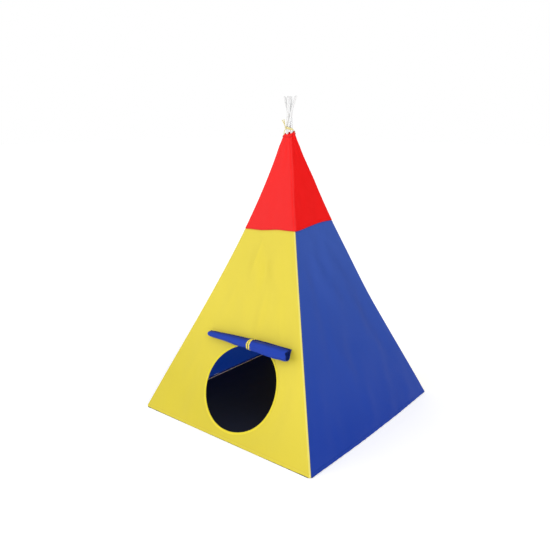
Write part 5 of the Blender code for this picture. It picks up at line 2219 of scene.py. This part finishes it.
@dataclass(frozen=True)
class Studio:
    """The pale floor, the soft light and the camera at the photograph's angle."""

    azimuth: float = 38.3
    elevation: float = 15.42
    distance: float = 2.860
    target_height: float = 0.6
    focal: float = 39.27
    shift_x: float = -0.02636
    shift_y: float = 0.01582
    ambient: float = 0.32
    key: Colour = (-0.60, -0.73, 0.32)
    fill: Colour = (0.95, -0.05, 0.26)
    shaded: Colour = (0.617, 0.757, 0.213)

    def build_camera(self) -> None:
        """Places the camera, level and without tilt or depth of field."""
        turn, rise = math.radians(self.azimuth), math.radians(self.elevation)
        back = np.array((math.sin(turn) * math.cos(rise), -math.cos(turn) * math.cos(rise), math.sin(rise)))
        camera = bpy.data.cameras.new("camera")
        camera.sensor_width = 36.0
        camera.lens = self.focal
        camera.shift_x, camera.shift_y = self.shift_x, self.shift_y
        obj = bpy.data.objects.new("camera", camera)
        obj.location = back * self.distance + UP * self.target_height
        obj.rotation_euler = (math.pi / 2 - rise, 0.0, turn)
        bpy.context.scene.collection.objects.link(obj)
        bpy.context.scene.camera = obj

    def build_floor(self) -> None:
        """Lays a wide white floor under the tent."""
        white = bpy.data.materials.new("studio_white")
        white.use_nodes = True
        tree = NodeTree(white.node_tree)
        shader = white.node_tree.nodes["Principled BSDF"]
        place = tree.add("ShaderNodeTexCoord")
        mottle = tree.feed(tree.add("ShaderNodeTexNoise"), Vector=place.outputs["Object"], Scale=3.0)
        tone = tree.math("MULTIPLY_ADD", mottle.outputs[0], 0.02, 0.89)
        colour = tree.feed(tree.add("ShaderNodeCombineColor"), in0=tone, in1=tone, in2=tone)
        tree.feed(shader, Base_Color=colour.outputs[0], Roughness=0.9, Specular_IOR_Level=0.0)
        seen = tree.add("ShaderNodeLightPath").outputs["Is Camera Ray"]
        shader.inputs["Emission Color"].default_value = (1.0, 1.0, 1.0, 1.0)
        tree.feed(shader, Emission_Strength=tree.math("MULTIPLY_ADD", seen, 0.09, 0.30))
        half = 30.0
        points = half * np.array([(*corner.signs, 0.0) for corner in Corner])
        obj = make_object("studio_floor", points - UP * 0.0002, [(0, 1, 2, 3)], white)

    def build_sky(self) -> None:
        """Soft white light all round: a key patch at the front left, a broad fill and a dim back right."""
        world = bpy.data.worlds.new("studio")
        bpy.context.scene.world = world
        world.use_nodes = True
        tree = NodeTree(world.node_tree)
        background = world.node_tree.nodes["Background"]
        place = tree.add("ShaderNodeTexCoord")

        def lobe(direction: Colour, edge: float, core: float, strength: float) -> bpy.types.NodeSocket:
            """A soft round patch of sky, from its edge to its core as cosines to its direction.

            Args:
                direction: Where the patch lies.
                edge: The cosine at which it starts.
                core: The cosine at which it is full.
                strength: How much it adds at its core.

            Returns:
                What the patch adds.
            """
            node = tree.add("ShaderNodeVectorMath", operation="DOT_PRODUCT")
            node.inputs[1].default_value = tuple(float(part) for part in unit(np.array(direction)))
            tree.feed(node, in0=place.outputs["Generated"])
            patch = tree.add("ShaderNodeMapRange", interpolation_type="SMOOTHSTEP")
            tree.feed(patch, Value=node.outputs["Value"], From_Min=edge, From_Max=core, To_Max=strength)
            return patch.outputs[0]

        level = tree.math("ADD", lobe(self.key, 0.80, 0.97, 1.35), self.ambient)
        level = tree.math("ADD", level, lobe(self.fill, 0.52, 0.97, 2.10))
        level = tree.math("ADD", level, lobe((0.0, 0.0, 1.0), 0.30, 1.0, 0.55))
        kept = tree.math("SUBTRACT", 1.0, lobe(self.shaded, 0.35, 0.90, 0.94))
        level = tree.math("MULTIPLY", level, kept)
        seen = tree.add("ShaderNodeLightPath").outputs["Is Camera Ray"]
        strength = tree.math("ADD", tree.math("MULTIPLY", level, tree.math("SUBTRACT", 1.0, seen)), seen)
        tree.feed(background, Strength=strength)
        background.inputs["Color"].default_value = (1.0, 1.0, 1.0, 1.0)

    def build(self) -> None:
        """Builds the studio."""
        bpy.context.scene.view_settings.view_transform = "Standard"
        self.build_camera()
        self.build_floor()
        self.build_sky()


def main() -> None:
    """Builds the studio and the tent, one sub-assembly after another."""
    logging.basicConfig(level=logging.INFO, format="%(name)s %(message)s")
    form = TentForm()
    finishes = Finishes()
    stitcher = Stitcher()
    Studio().build()
    cover = Cover(form, finishes, stitcher)
    NeckEdge(form, finishes, stitcher).build()
    PoleFrame(form, finishes).build()
    Floor(form, finishes).build()
    cover.build()
    Door(form, finishes, stitcher, cover).build()


if __name__ == "__main__":
    main()
